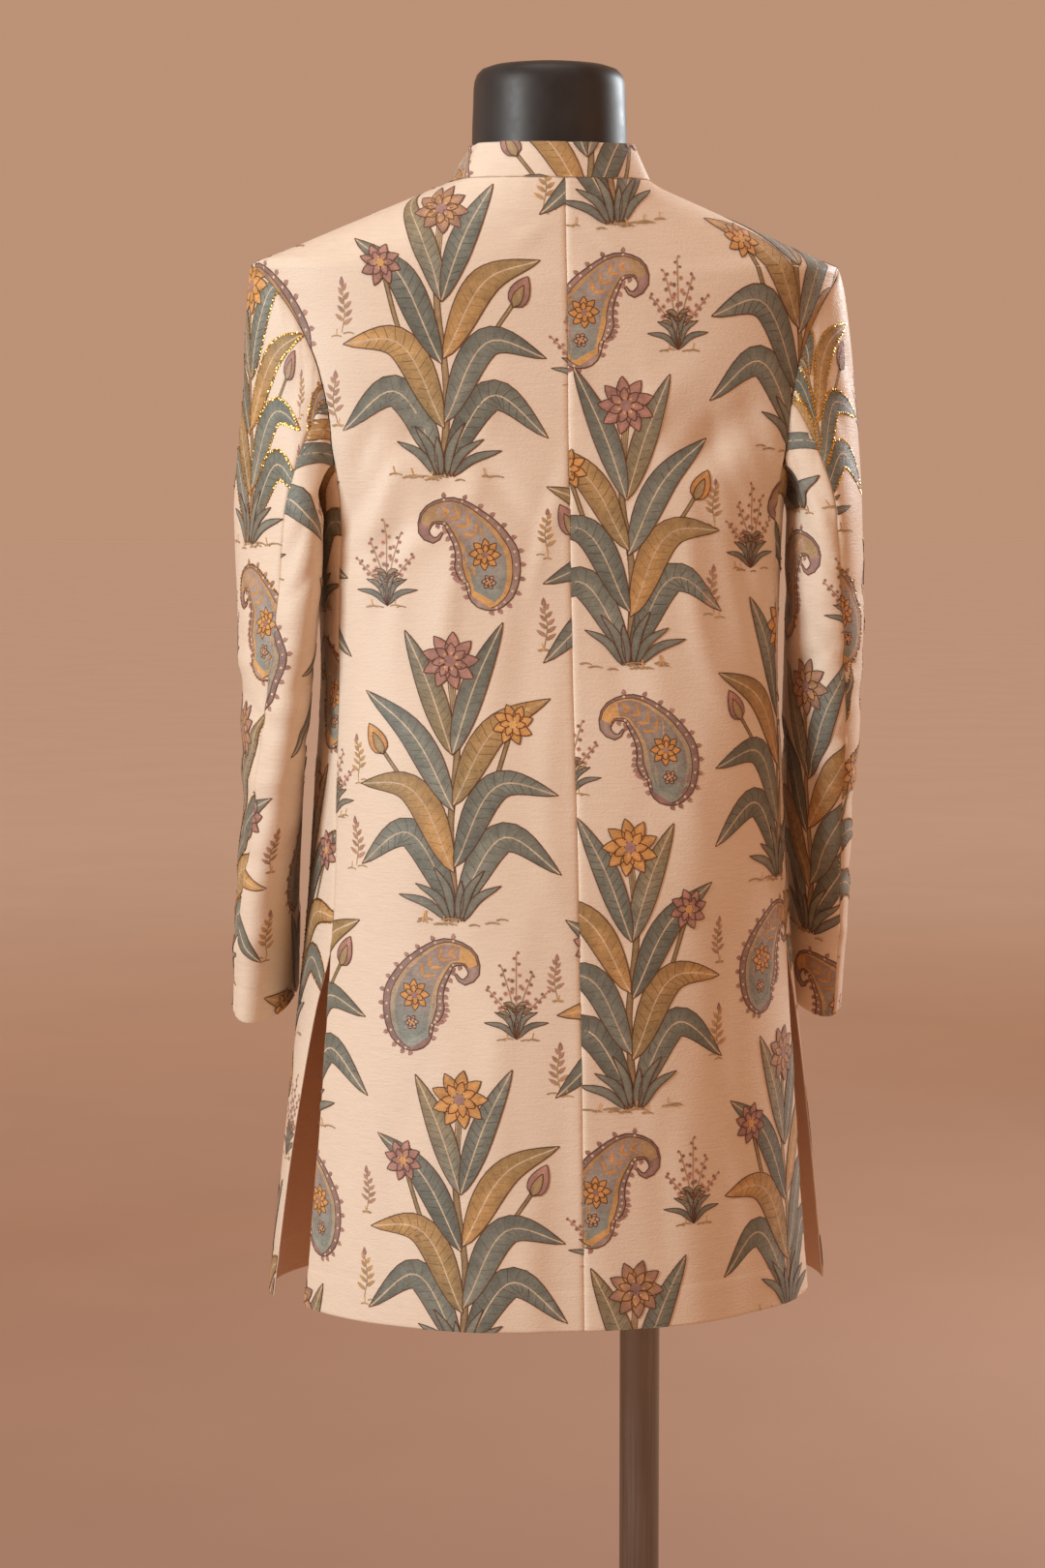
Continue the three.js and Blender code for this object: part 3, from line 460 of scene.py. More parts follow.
def front_panel(side, name):
    level = panel_levels()
    q = np.concatenate([
        shares(120)[:-1] * 4, 4 + shares(220)[:-1] * 6, 10 + np.arange(6) / 6,
        11 + np.arange(5) / 5, 12 + shares(OVERLAP, pitch=4),
    ])
    point, normal = front_spot(side, level, q[None, :])
    across, up = lengths(point, 1), lengths(point, 0)
    across = across[:, -1:] - across
    middle = closest(q, 6)
    along = HEM_LEVEL + np.repeat(up[:, middle : middle + 1], len(q), axis=1)
    cells = np.ones((len(level) - 1, len(q) - 1), bool)
    cells[closest(level[:, 0], UNDERARM_LEVEL) :, : closest(q, 4)] = False
    panel = Panel("front_" + name, point, normal, across, along, cells)
    side_seam(panel, level, across.max(axis=1, keepdims=True) - across, up, side, 60)
    return panel


def armhole(side, dense):
    """The armhole's spots from the tip down the back, under the arm and up the front, and a
    neighbour of each on its panel. dense says how many steps each of the solids' steps has."""
    step = np.arange(7 * dense) / dense
    down, up = (np.interp(step, range(8), levels) for levels in (ARM_LEVELS, ARM_LEVELS[::-1]))
    up = np.maximum(up, UNDERARM_LEVEL + 0.01)
    floor = np.arange(4 * dense) / dense
    under = np.full(floor.shape, float(UNDERARM_LEVEL))
    spots, neighbours = (
        np.concatenate([
            back_spot(side, down, share, False)[0],
            front_spot(side, under - lower, floor, False)[0],
            front_spot(side, up, q, False)[0],
        ])
        for share, lower, q in ((1.0, 0, 4.0), (0.9, 44, 5.0))
    )
    neighbours[:1] = back_spot(side, np.array([TIP_LEVEL + 10.0]), 1.0, False)[0]
    return spots, neighbours


def loop_turns(spots):
    """How far round a closed loop each spot lies, 0-360 by length."""
    step = np.linalg.norm(np.roll(spots, -1, axis=0) - spots, axis=1)
    walked = np.concatenate([[0], np.cumsum(step)])
    return 360 * walked[:-1] / walked[-1]


def sleeve_point(side, turn, height):
    """Points of a sleeve's plain form below its head, in sections that swing and tip."""
    rows = np.array(SLEEVES[side], float)
    x, y, thin, broad, swing, tip = (curve(rows[:, 0], rows[:, k])(height) for k in range(1, 7))
    c, s = np.cos(np.radians(turn)), np.sin(np.radians(turn))
    swing, tip = np.radians(swing), np.radians(tip)
    thin, broad = thin * c, broad * s
    out = x + thin * np.cos(swing) + broad * np.sin(swing)
    back = broad * np.cos(swing) - thin * np.sin(swing)
    return np.stack([side * out, y + back * np.cos(tip), height - back * np.sin(tip)], axis=-1)


def sleeve(side, name):
    """The top and under sleeve: a head led from the armhole to the first plain section, and
    the sections below, parted at the hind-arm and forearm seams."""
    turns = loop_turns(armhole(side, 1)[0])
    hind, fore = int(np.argmax(turns > SEAM_AT_BACK)), int(np.argmax(turns > SEAM_AT_FRONT))
    spots, neighbours = armhole(side, DENSE)
    count = len(spots)
    raw = np.interp(np.arange(count) / DENSE, np.arange(len(turns) + 1), np.append(turns, 360))
    led = np.interp(raw, [0, turns[hind], turns[fore], 360], [0, HIND[side], FOREARM, 360])
    gap = mix(SLEEVE_GAP, TIP_GAP, near(np.minimum(raw, 360 - raw), 6))
    start = spots + unit(spots - neighbours) * gap[:, None]

    def section(height):
        return sleeve_point(side, led, np.full(led.shape, float(height)))

    end, below = section(SLEEVE_TOP), section(SLEEVE_TOP - 1)
    sway = SLEEVE_SPREAD * np.sin(np.radians(raw))
    leave = unit(np.stack([np.full(count, float(side)), sway, 0 * sway], axis=-1)) * SLEEVE_LEAVE
    reach = np.linalg.norm(start - end, axis=1)
    arrive = unit(below - end) * (reach * SLEEVE_FALL)[:, None]
    down_head = np.concatenate([[0, 0.006, 0.018], np.linspace(0.045, 1, 25)[:-1]])
    cuff = float(SLEEVES[side][-1][0])
    heights = stations(cuff, cuff + CUFF_TURN, float(SLEEVE_TOP))[::-1]
    grid = np.array(
        [hermite(start, leave, end, arrive, t) for t in down_head] + [section(h) for h in heights]
    )
    head = len(down_head)
    # One column more closes the ring, and two more give the normals at its join.
    ring = np.concatenate([grid, grid[:, :1]], axis=1)
    wrapped = np.concatenate([ring[:, -2:-1], ring, ring[:, 1:2]], axis=1)
    turned, risen = wrapped[:, 2:] - wrapped[:, :-2], np.gradient(ring, axis=0)
    normal = unit(np.cross(turned, risen)) * (-1 if side > 0 else 1)
    around = np.append(led, 360.0)[None, :]
    nominal = np.concatenate([
        SLEEVE_TOP + (ring[:head, :, 2] - ring[head, :, 2]),
        np.repeat(heights[:, None], count + 1, axis=1),
    ])
    plain = ease((SLEEVE_TOP + 25 - nominal) / 25)
    out = plain * fold_depth(SLEEVE_FOLDS, around, nominal, SLEEVE_RADIUS)
    joined = CREASE * ease(lengths(ring, 0) / 22)
    out = out + joined * fold_depth(SLEEVE_CREASES[side], around, nominal, SLEEVE_RADIUS, BOW)
    ring = ring + normal * out[..., None]
    first, last = hind * DENSE, fore * DENSE
    panels = []
    for kind, low, high in (("top", last, first + count), ("under", first, last)):
        pick = np.arange(low, high + 1) % count
        point, way = crowded(ring[:, pick]), unit(crowded(normal[:, pick]))
        spread, down = lengths(point, 1), lengths(point, 0)
        across = spread - spread[:, point.shape[1] // 2][:, None]
        # Down the head each column keeps its own length, and below it they share their mean.
        fallen = down - down[head]
        row = np.arange(len(down))[:, None]
        along = SLEEVE_TOP - np.where(row < head, fallen, fallen.mean(axis=1, keepdims=True))
        panel = Panel(f"{kind}_sleeve_{name}", point, way, across, along)
        panel.press(spread, down, 7.0 + side, ripple=0.3, reach=11)
        panel.press(spread[:, -1:] - spread, down, 9.0 + side, ripple=0.3, reach=11)
        panel.press(down, spread, 11.0 + side, depth=ARMHOLE_DEPTH, ripple=0.8, reach=17)
        panel.swell(-0.25 * near(down[-1:] - down - CUFF_TURN, STITCH_WIDTH))
        panels.append(panel)
    return panels


def crowded(values):
    """A grid with close columns added at its first and last ones."""
    first = [mix(values[:, 0], values[:, 1], t) for t in (0.15, 0.5)]
    last = [mix(values[:, -1], values[:, -2], t) for t in (0.5, 0.15)]
    middle = [values[:, k] for k in range(1, values.shape[1] - 1)]
    return np.stack([values[:, 0], *first, *middle, *last, values[:, -1]], axis=1)


def collar_panel():
    """The stand collar in one band, from the left end round the back to the right one."""
    rise = stations(0.0, COLLAR_RISE, pitch=4.0)[:, None] / COLLAR_RISE
    half = np.concatenate([[0, 0.008, 0.022], np.linspace(0.05, 1, 56)])
    half = mix(math.degrees(3 / 71) - 90, 90.0, half)
    angle = np.concatenate([half, (180 - half[:-1])[::-1]])[None, :]
    top = body_point(angle, np.full(angle.shape, float(TOP_LEVEL)), "half_front")
    out = unit(top * np.array([1, 1, 0]))
    # The ends are cut down and round towards the centre front.
    kept = np.interp(np.abs(top[..., 0]), (3, 9, 21, 46), (0.72, 0.86, 0.94, 1))
    kept = np.where(top[..., 1] < 0, kept, 1.0)
    lean = mix(15.0, 7.5, np.sin(np.radians(angle)) ** 2) * rise
    point = top - out * lean[..., None]
    point[..., 2] += rise * COLLAR_RISE * np.minimum(1, kept + (1 - rise) * 0.28) + 0.35
    normal = unit(np.cross(np.gradient(point, axis=1), np.gradient(point, axis=0)))
    across, up = lengths(point, 1), lengths(point, 0)
    across = across - across[:, across.shape[1] // 2][:, None]
    panel = Panel("collar", point, normal, across, COLLAR_LEVEL + up)
    panel.swell(0.35 * pucker(across, 2.0) * near(up, 8) - 0.22 * near(up[-1:] - up - 4.0, 0.9))
    return panel


# --- meshes --------------------------------------------------------------------------


def linear(r, g, b):
    """A colour as it is seen, 0-255, as the renderer's own numbers."""
    values = np.array([r, g, b], float) / 255
    return np.where(values <= 0.04045, values / 12.92, ((values + 0.055) / 1.055) ** 2.4)


GROUND, LINING = linear(237, 214, 189), linear(240, 194, 152)


def add_mesh(name, verts, faces, material, smooth=True):
    mesh = bpy.data.meshes.new(name)
    mesh.from_pydata([tuple(v) for v in verts], [], [tuple(int(i) for i in f) for f in faces])
    mesh.validate()
    mesh.polygons.foreach_set("use_smooth", [smooth] * len(mesh.polygons))
    mesh.materials.append(material)
    item = bpy.data.objects.new(name, mesh)
    bpy.context.scene.collection.objects.link(item)
    return item


def paint(item, uv, dye, ink):
    """Sets a place on the OFBake UV map and a dye at each point. Ink says how much the dye mottles.
    """
    mesh = item.data
    loops = np.empty(len(mesh.loops), int)
    mesh.loops.foreach_get("vertex_index", loops)
    mesh.uv_layers.new(name="OFBake").data.foreach_set("uv", np.asarray(uv, float)[loops].ravel())
    values = np.concatenate([dye, np.ones((len(dye), 1))], axis=1)
    dyes = mesh.color_attributes.new("Dye", "FLOAT_COLOR", "POINT")
    dyes.data.foreach_set("color", values.ravel())
    inks = mesh.attributes.new("Ink", "FLOAT", "POINT")
    inks.data.foreach_set("value", np.full(len(dye), ink))


def uv_of(flat, shift=0.25):
    """The flat design's millimetres as a place on the OFBake UV map."""
    return (flat - np.array([0, MAP_FOOT])) / MAP_WIDTH + np.array([shift, 0])


def corners(cells):
    """The numbers of the four points at each cell of a grid."""
    rows, columns = cells.shape
    index = np.arange((rows + 1) * (columns + 1)).reshape(rows + 1, columns + 1)
    return index[:-1, :-1], index[:-1, 1:], index[1:, 1:], index[1:, :-1]


def quads(cells):
    """The kept cells of a grid as faces."""
    return np.stack([corner[cells] for corner in corners(cells)], axis=1)


def triangles(cells):
    faces = quads(cells)
    return np.concatenate([faces[:, [0, 1, 2]], faces[:, [0, 2, 3]]])


def open_edges(cells):
    """The edges that one cell alone has, each in the direction that its cell runs."""
    a, b, c, d = corners(cells)
    wide = np.pad(cells, 1)
    beyond = (wide[:-2, 1:-1], wide[1:-1, 2:], wide[2:, 1:-1], wide[1:-1, :-2])
    return np.concatenate([
        np.stack(ends, axis=-1)[cells & ~past]
        for ends, past in zip(((a, b), (b, c), (c, d), (d, a)), beyond)
    ])


def compact(faces, count):
    """Which of count points the faces use, and the faces with those points renumbered."""
    used = np.zeros(count, bool)
    used[faces.ravel()] = True
    return used, (np.cumsum(used) - 1)[faces]


def shell(panel, material, thick):
    """The panel's closed shell: cloth outside, facing inside, its edges rounded a little."""
    flat, way = panel.point.reshape(-1, 3), unit(panel.normal).reshape(-1, 3)
    count = len(flat)
    edges = open_edges(panel.cells)
    rim = np.zeros(count, bool)
    rim[edges.ravel()] = True
    rounded = (0.3 * thick * rim)[:, None]
    verts = np.concatenate([flat - way * rounded, flat - way * (thick - rounded)]) * MM
    front = triangles(panel.cells)
    p, q = edges.T
    sides = [np.stack([q, p, p + count], axis=1), np.stack([q, p + count, q + count], axis=1)]
    faces = np.concatenate([front, front[:, ::-1] + count, *sides])
    a, b, c = flat[front[0]]
    if np.dot(np.cross(b - a, c - a), way[front[0, 0]]) < 0:
        faces = faces[:, ::-1]
    used, faces = compact(faces, 2 * count)
    place = np.stack([panel.across.ravel(), panel.along.ravel()], axis=1)
    uv = np.concatenate([uv_of(place), uv_of(place, 0.75)])
    lined = np.concatenate([np.zeros(count, bool), ~rim])
    item = add_mesh("cloth_" + panel.node, verts[used], faces, material)
    paint(item, uv[used], np.where(lined[:, None], LINING, GROUND)[used], 0.0)
    return item


class Cloth:
    """Finds where a place of the flat design falls on a panel."""

    def __init__(self, panel):
        self.panel, self.tris = panel, triangles(panel.cells)
        self.flat = np.stack([panel.across.ravel(), panel.along.ravel()], axis=1)
        self.point = panel.point.reshape(-1, 3)
        self.normal = unit(panel.normal).reshape(-1, 3)
        verts = [(x, y, 0.0) for x, y in self.flat]
        self.tree = BVHTree.FromPolygons(verts, [tuple(map(int, t)) for t in self.tris])
        used = self.flat[np.unique(self.tris)]
        self.low, self.high = used.min(axis=0), used.max(axis=0)

    def place(self, flat):
        """Points and normals, how far off the panel each flat place lay, and the nearest
        places on it."""
        hits = [self.tree.find_nearest((x, y, 0.0)) for x, y in flat]
        spot = np.array([hit[0][:2] for hit in hits])
        tri = self.tris[np.array([hit[2] for hit in hits])]
        p, q, r = (self.flat[tri[:, k]] for k in range(3))
        e1, e2, w = q - p, r - p, spot - p
        det = e1[:, 0] * e2[:, 1] - e1[:, 1] * e2[:, 0]
        det = np.where(np.abs(det) < 1e-9, 1e-9, det)
        s = (w[:, 0] * e2[:, 1] - w[:, 1] * e2[:, 0]) / det
        t = (e1[:, 0] * w[:, 1] - e1[:, 1] * w[:, 0]) / det
        weight = np.stack([1 - s - t, s, t], axis=1)[..., None]
        point = np.sum(self.point[tri] * weight, axis=1)
        normal = unit(np.sum(self.normal[tri] * weight, axis=1))
        return point, normal, np.array([hit[3] for hit in hits]), spot


# --- the print's flat design ---------------------------------------------------------

TEAL, OLIVE, OCHRE = linear(150, 148, 132), linear(172, 146, 102), linear(224, 170, 106)
DEEP, STEM, ORANGE = linear(124, 124, 110), linear(182, 148, 108), linear(228, 156, 84)
MAUVE, GREY, ROSE = linear(168, 128, 118), linear(184, 156, 142), linear(200, 146, 128)
BLUE, BROWN, PALE = linear(152, 156, 144), linear(108, 68, 44), linear(238, 208, 172)

# The tall plant's stems, and its leaves: base, tip, sag, half its width and the dyes.
STEMS = (
    ((0, 0), (3, 70), (-4, 138), (0, 192)), ((0, 0), (-16, 60), (-36, 116), (-46, 146)),
    ((0, 0), (18, 58), (38, 104), (56, 130)),
)
LEAVES = (
    ((0, 6), (-80, 34), 44, 12.5, (TEAL, DEEP)), ((0, 6), (83, 28), 44, 12.5, (DEEP, TEAL)),
    ((1, 36), (-78, 98), 34, 12.5, (OLIVE, OCHRE)), ((1, 40), (82, 90), 38, 12.0, (TEAL, DEEP)),
    ((0, 84), (-70, 172), 18, 11.5, (DEEP, TEAL)), ((1, 88), (78, 166), 22, 11.5, (OCHRE, OLIVE)),
    ((0, 128), (-36, 220), 8, 10.0, (TEAL, OLIVE)), ((0, 128), (42, 226), 8, 10.0, (DEEP, TEAL)),
)


def bend(points, count, crowd=1.0):
    """count points along a smooth curve through a few, closer at its start for crowd over 1."""
    points = np.array(points, float)
    place = np.concatenate([[0], np.cumsum(np.linalg.norm(np.diff(points, axis=0), axis=1))])
    share = np.linspace(0, 1, count) ** crowd
    if len(points) == 2:
        return mix(points[0], points[1], share[:, None])
    slope = np.gradient(points, place, axis=0)
    want = place[-1] * share
    i = np.clip(np.searchsorted(place, want, side="right") - 1, 0, len(place) - 2)
    span = (place[i + 1] - place[i])[:, None]
    t = (want - place[i])[:, None] / span
    return hermite(points[i], slope[i] * span, points[i + 1], slope[i + 1] * span, t)


def ways(path):
    """The way ahead and the way to the left at each point of a path."""
    ahead = unit(np.gradient(path, axis=0))
    return ahead, np.stack([-ahead[:, 1], ahead[:, 0]], axis=1)


def beside(path, widths):
    return path + ways(path)[1] * widths[:, None]


def polar(turn):
    return np.array([math.cos(turn), math.sin(turn)])


def leaf_widths(count, width, sharp):
    return np.sin(np.pi * np.linspace(0, 1, count) ** sharp) ** 0.8 * width


class Design:
    """Strokes of the print in layers, each a grid of points with a dye at each."""

    def __init__(self, seed):
        self.rng = np.random.default_rng(seed)
        self.strokes = []  # points, dyes, layer
        self.gold = []  # paths that gold thread follows

    def stroke(self, points, widths, dyes, layer, steps=(-1, 0, 1), shade=0.0):
        """A strip from the first dye to the second, its edges darker by shade."""
        points, steps = np.asarray(points, float), np.array(steps, float)
        left = ways(points)[1]
        grid = points[:, None] + left[:, None] * (widths[:, None] * steps)[..., None]
        tone = mix(dyes[0], dyes[1], np.linspace(0, 1, len(points))[:, None, None])
        tone = tone * (1 - shade * np.abs(steps)[:, None]) * self.rng.uniform(0.9, 1.1)
        self.strokes.append((grid, tone, layer))

    def line(self, points, width, dye, layer):
        widths = np.full(len(points), width / 2)
        self.stroke(points, widths, (dye, dye), layer, steps=(-1, 1))

    def petal(self, path, width, dyes, layer, sharp=0.6, outline=True, gold=False, shade=0.22):
        """A leaf or petal along a path, rounder at its base for a smaller sharp."""
        body = leaf_widths(len(path), width, sharp)
        self.stroke(path, body, dyes, layer, steps=(-1, -0.1, 1), shade=shade)
        for way in (-1, 1) if outline else ():
            edge = beside(path, way * body)
            self.line(edge, 0.8, BROWN, layer + 2.4)
            if gold:
                self.gold.append(edge)

    def dot(self, centre, radius, dye, layer, count=9):
        turn = np.linspace(0, 2 * math.pi, count)
        ring = centre + np.stack([np.cos(turn), np.sin(turn)], axis=1) * radius
        grid = np.stack([np.repeat([centre], count, axis=0), ring])
        tone = np.broadcast_to(dye * self.rng.uniform(0.88, 1.12), (2, count, 3))
        self.strokes.append((grid, tone, layer))

    # The motifs. Each stands on the place (0, 0), its top towards +y.

    def long_leaf(self, base, tip, sag, width, dyes, layer):
        """A long arching leaf with a pale midrib and combed side veins."""
        base, tip = np.array(base, float), np.array(tip, float)
        path = bend([base, (base + tip) / 2 + (0, sag), tip], 17)
        self.petal(path, width, dyes, layer, sharp=0.85, gold=True, shade=0.3)
        ahead, left = ways(path)
        body = leaf_widths(len(path), width, 0.85)
        for k in range(2, len(path) - 3):
            for way in (-1, 1):
                end = path[k] + left[k] * way * body[k] * 0.9 + ahead[k] * 5.5
                self.line([path[k], end], 0.55, dyes[0] * 0.5, layer + 1.1)
        self.line(path, 1.1, PALE * 0.8, layer + 1.8)

    def flower(self, centre, size, dyes, heart, layer, petals=9, turn=0.0):
        """A round flower of two rings of petals, the inner one smaller."""
        centre = np.array(centre, float)
        for ring, (count, share) in enumerate(((petals, 1.0), (petals - 2, 0.62))):
            for k in range(count):
                out = polar(turn + 2 * math.pi * (k + 0.5 * ring) / count)
                side = np.array([-out[1], out[0]])
                path = bend([
                    centre + out * size * 0.12, centre + out * size * 0.6 * share + side * 0.6,
                    centre + out * size * share,
                ], 6)
                tone = dyes[::-1] if ring else dyes
                self.petal(path, size * 0.2 * share + 0.8, tone, layer + 4 * ring, sharp=0.8)
        self.dot(centre, size * 0.2, heart, layer + 9)
        for k in range(7):
            spot = centre + polar(2 * math.pi * k / 7) * size * 0.27
            self.dot(spot, size * 0.05, OCHRE, layer + 10, count=6)

    def bud(self, base, tip, size, dyes, layer):
        path = bend([base, tip], 8)
        self.petal(path, size, dyes, layer, sharp=0.7)
        self.petal(path[:6], size * 0.5, (OLIVE, STEM), layer + 4, sharp=0.7)

    def plant(self, kind):
        """A tall flowering plant with long arching leaves."""
        for k, points in enumerate(STEMS):
            path = bend(points, 18)
            width = np.linspace(3.4, 1.4, len(path)) * (0.7 if k else 1)
            self.stroke(path, width, (STEM * 0.85, OLIVE), 1, shade=0.3)
            for way in (-1, 1):
                self.line(path + np.array([way * width[6] * 0.9, 0]), 0.55, BROWN, 2)
        for k, (base, (x, y), sag, wide, dyes) in enumerate(LEAVES):
            if kind % 2:
                x, y, dyes = -x, y + 6, dyes[::-1]
            self.long_leaf(base, (x, y), sag, wide, dyes, layer=3 + 3.2 * k)
        tones = ((ORANGE, OCHRE), (MAUVE, ROSE), (OCHRE, MAUVE))[kind % 3]
        other = ((MAUVE, ROSE), (ORANGE, OCHRE), (MAUVE, ROSE))[kind % 3]
        self.flower((0, 202), 23, tones, MAUVE, 31, turn=0.3 * kind)
        self.flower((-48, 152), 16.5, other, OCHRE, 31, petals=8, turn=0.5)
        self.bud((56, 128), (68, 152), 8.0, other, 31)
        for x, height, lean in (
            (-20, 26, -16), (-13, 38, -10), (-5, 30, 0), (8, 40, 9), (16, 27, 16), (24, 18, 22),
        ):
            middle = (x * 0.7 + lean * 0.2, height * 0.6)
            blade = bend([(x * 0.3, -2), middle, (x + lean, height)], 8)
            self.petal(blade, 3.4, (DEEP, TEAL), 30, sharp=0.9)
        self.tuft(46, 34)

    def tuft(self, wide, layer):
        """Short strokes of ground under a plant."""
        for k in range(int(wide / 4)):
            x = self.rng.uniform(-wide, wide)
            y = self.rng.uniform(-7, -1) * (1 - abs(x) / wide / 1.4)
            reach = self.rng.uniform(3, 8)
            self.line(bend([(x - reach, y), (x, y + 1.2), (x + reach, y)], 4), 1.2, STEM, layer)
            if k % 3 == 0:
                self.line([(x, y), (x + self.rng.uniform(-3, 3), y + 7)], 0.8, OCHRE, layer)

    def paisley(self, kind):
        """A curled drop with ornament inside, 100 tall."""
        path = bend([
            (0, 0), (-9, 16), (-8, 42), (6, 68), (26, 83), (43, 78), (46, 64), (36, 58), (30, 65)
        ], 36, 1.35)
        t = np.linspace(0, 1, 36) ** 1.35
        full = 0.3  # its share that swells, before it thins to its end
        swelling = np.sqrt(np.maximum(0, 1 - (1 - np.minimum(t, full) / full) ** 2))
        thinning = (1 - np.maximum(0, t - full) / (1 - full)) ** 1.25
        body = 28 * swelling * thinning + 0.8 * (t > 0.1)
        outer = ((GREY, MAUVE), (MAUVE, GREY))[kind % 2]
        inner = ((OCHRE, STEM), (BLUE, OCHRE))[kind % 2]
        for dyes, share, cut, layer, shade in (
            (outer, 1, slice(None), 4, 0.25), (inner, 0.76, slice(3, -5), 6, 0.12),
            ((BLUE, GREY), 0.58, slice(5, -8), 7, 0.15),
        ):
            five = (-1, -0.5, 0, 0.5, 1)
            self.stroke(path[cut], body[cut] * share, dyes, layer, steps=five, shade=shade)
        ahead, left = ways(path)
        for way in (-1, 1):
            edge = beside(path, way * body)
            self.line(edge, 1.0, BROWN, 9)
            self.gold.append(edge)
            self.line(beside(path, way * body * 0.76)[3:-5], 0.7, BROWN, 9)
            for k in range(4, 28, 2):
                self.dot(path[k] + left[k] * way * body[k] * 0.88, 1.3, PALE * 0.9, 10, count=6)
        self.flower(path[15], 14.0, (OCHRE, ORANGE), MAUVE, 11, petals=8)
        self.flower(path[9], 6.5, (PALE, ROSE), OCHRE, 11, petals=6)
        for k in (20, 22, 24, 26):
            for way in (-1, 1):
                tip = path[k] + left[k] * way * body[k] * 0.45 + ahead[k] * 4
                self.petal(bend([path[k - 1], tip], 5), 1.7, (OCHRE, ORANGE), 11, outline=False)
        for way, last in ((-1, 29), (1, 27)):
            for k in range(2, last, 2):
                spot = path[k] + left[k] * way * body[k]
                tip = spot + left[k] * way * 5.5 + ahead[k] * (0.5 - 0.02 * k) * -4
                self.petal(bend([spot, tip], 5), 2.1, (MAUVE, ROSE), 5, sharp=0.7, outline=False)

    def shrub(self, _):
        """A low bush with spikes of rose-coloured blossom, 78 tall."""
        for k, (x, y) in enumerate(((-27, 46), (-13, 66), (1, 78), (16, 60), (29, 42))):
            path = bend([(0, 0), (x * 0.3, y * 0.5), (x, y)], 16)
            self.line(path, 1.1, STEM, 2)
            for place in range(8, 16):
                way = 1 if (place + k) % 2 else -1
                reach = 4.4 * (1 - (place - 8) / 11)
                spot = path[place] + np.array([way * reach, 1.0])
                dye = ROSE if (k + place) % 3 else MAUVE
                self.dot(spot, 2.3 - 0.1 * (place - 8), dye, 5, count=7)
                self.dot(spot, 0.8, BROWN * 1.6, 6, count=5)
            for way in (-1, 1):
                tip = path[5] + np.array([way * 12, 6])
                leaf = bend([path[5], (path[5] + tip) / 2 + (0, 3), tip], 6)
                self.petal(leaf, 2.1, (TEAL, OLIVE), 4, sharp=0.8)
        for x, height in ((-30, 14), (-20, 24), (-9, 30), (9, 30), (20, 24), (30, 14)):
            path = bend([(0, -1), (x * 0.4, height * 0.75), (x, height)], 8)
            self.petal(path, 2.6, (DEEP, TEAL), 7, sharp=0.9)
        self.tuft(20, 8)

    def sprig(self, kind):
        """A small loose sprig, 42 tall."""
        path = bend([(0, 0), (3 if kind % 2 else -3, 18), (0, 36)], 12)
        self.line(path, 0.8, STEM, 2)
        tone = (STEM, OCHRE) if kind % 2 else (STEM, ROSE)
        for k in range(2, 11):
            tip = path[k] + np.array([(1 if k % 2 else -1) * (11 - k * 0.7), 6])
            self.petal(bend([path[k], tip], 5), 1.8, tone, 4, sharp=0.8, outline=False)
        self.petal(bend([path[-1], path[-1] + (0, 8)], 5), 2.2, (ROSE, MAUVE), 4, outline=False)
        self.tuft(9, 3)


@functools.cache
def motif(kind, which):
    design = Design(11 + which)
    getattr(design, kind)(which)
    return design


# How far each motif reaches to both sides and up.
REACH = {"plant": (100, 240), "paisley": (60, 100), "shrub": (45, 85), "sprig": (20, 50)}
COLUMN, ROW = 160.0, 344.0  # the repeat, each second column half a row up


def lay_out(low, high, shift, seed):
    """Where motifs stand on a flat piece: their kind, form, place, way and scale."""
    rng = np.random.default_rng(seed)
    sites = []

    def span(axis, start, step):
        first, last = (low[axis] - start) / step, (high[axis] - start) / step
        return range(math.floor(first) - 1, math.ceil(last) + 2)

    for column in span(0, shift[0], COLUMN):
        foot = shift[1] + (ROW / 2 if column % 2 else 0)
        for row in span(1, foot, ROW):
            x, y = shift[0] + column * COLUMN, foot + row * ROW
            off = rng.uniform(-4, 4, 8)
            form = (column * 2 + row) % 3
            flip = 1 if (column + row) % 2 else -1
            sites += [
                ("plant", form, x + off[0], y + off[1], flip, 1.0),
                ("paisley", row, x - 24 * flip + off[2], y + 240 + off[3], flip, 0.9),
                ("shrub", column, x + 48 * flip + off[4], y + 247 + off[5], flip, 0.84),
                ("sprig", row, x + 80 + off[6], y + 40 + off[7], flip, 0.9),
                ("sprig", row + 1, x - 82, y - 62 + off[1], -flip, 0.8),
            ]
    return sites


def refined(grid, tone, most):
    """A stroke's grid with no step longer than most."""
    for axis in (0, 1):
        step = np.linalg.norm(np.diff(grid, axis=axis), axis=-1).max(axis=1 - axis)
        parts = np.maximum(1, np.ceil(step / most)).astype(int)
        place = np.concatenate([k + np.arange(n) / n for k, n in enumerate(parts)] + [[len(parts)]])
        low = np.minimum(place.astype(int), len(parts) - 1)
        t = np.expand_dims(place - low, (1, 2) if axis == 0 else (0, 2))
        grid, tone = (
            mix(np.take(values, low, axis=axis), np.take(values, low + 1, axis=axis), t)
            for values in (grid, tone)
        )
    return grid, tone


# A panel's longest step of the print, the same where the panel curves sharply, and how far
# the print lies off the cloth, with what each layer adds.
GRAIN = {
    "under": (2.8, 2.0, 0.2, 0.02), "top": (2.8, 1.5, 0.2, 0.02),
    "front": (6.0, 2.6, 0.22, 0.016), "back": (5.6, 2.6, 0.2, 0.016),
    "collar": (5.6, 2.6, 0.2, 0.016),
}


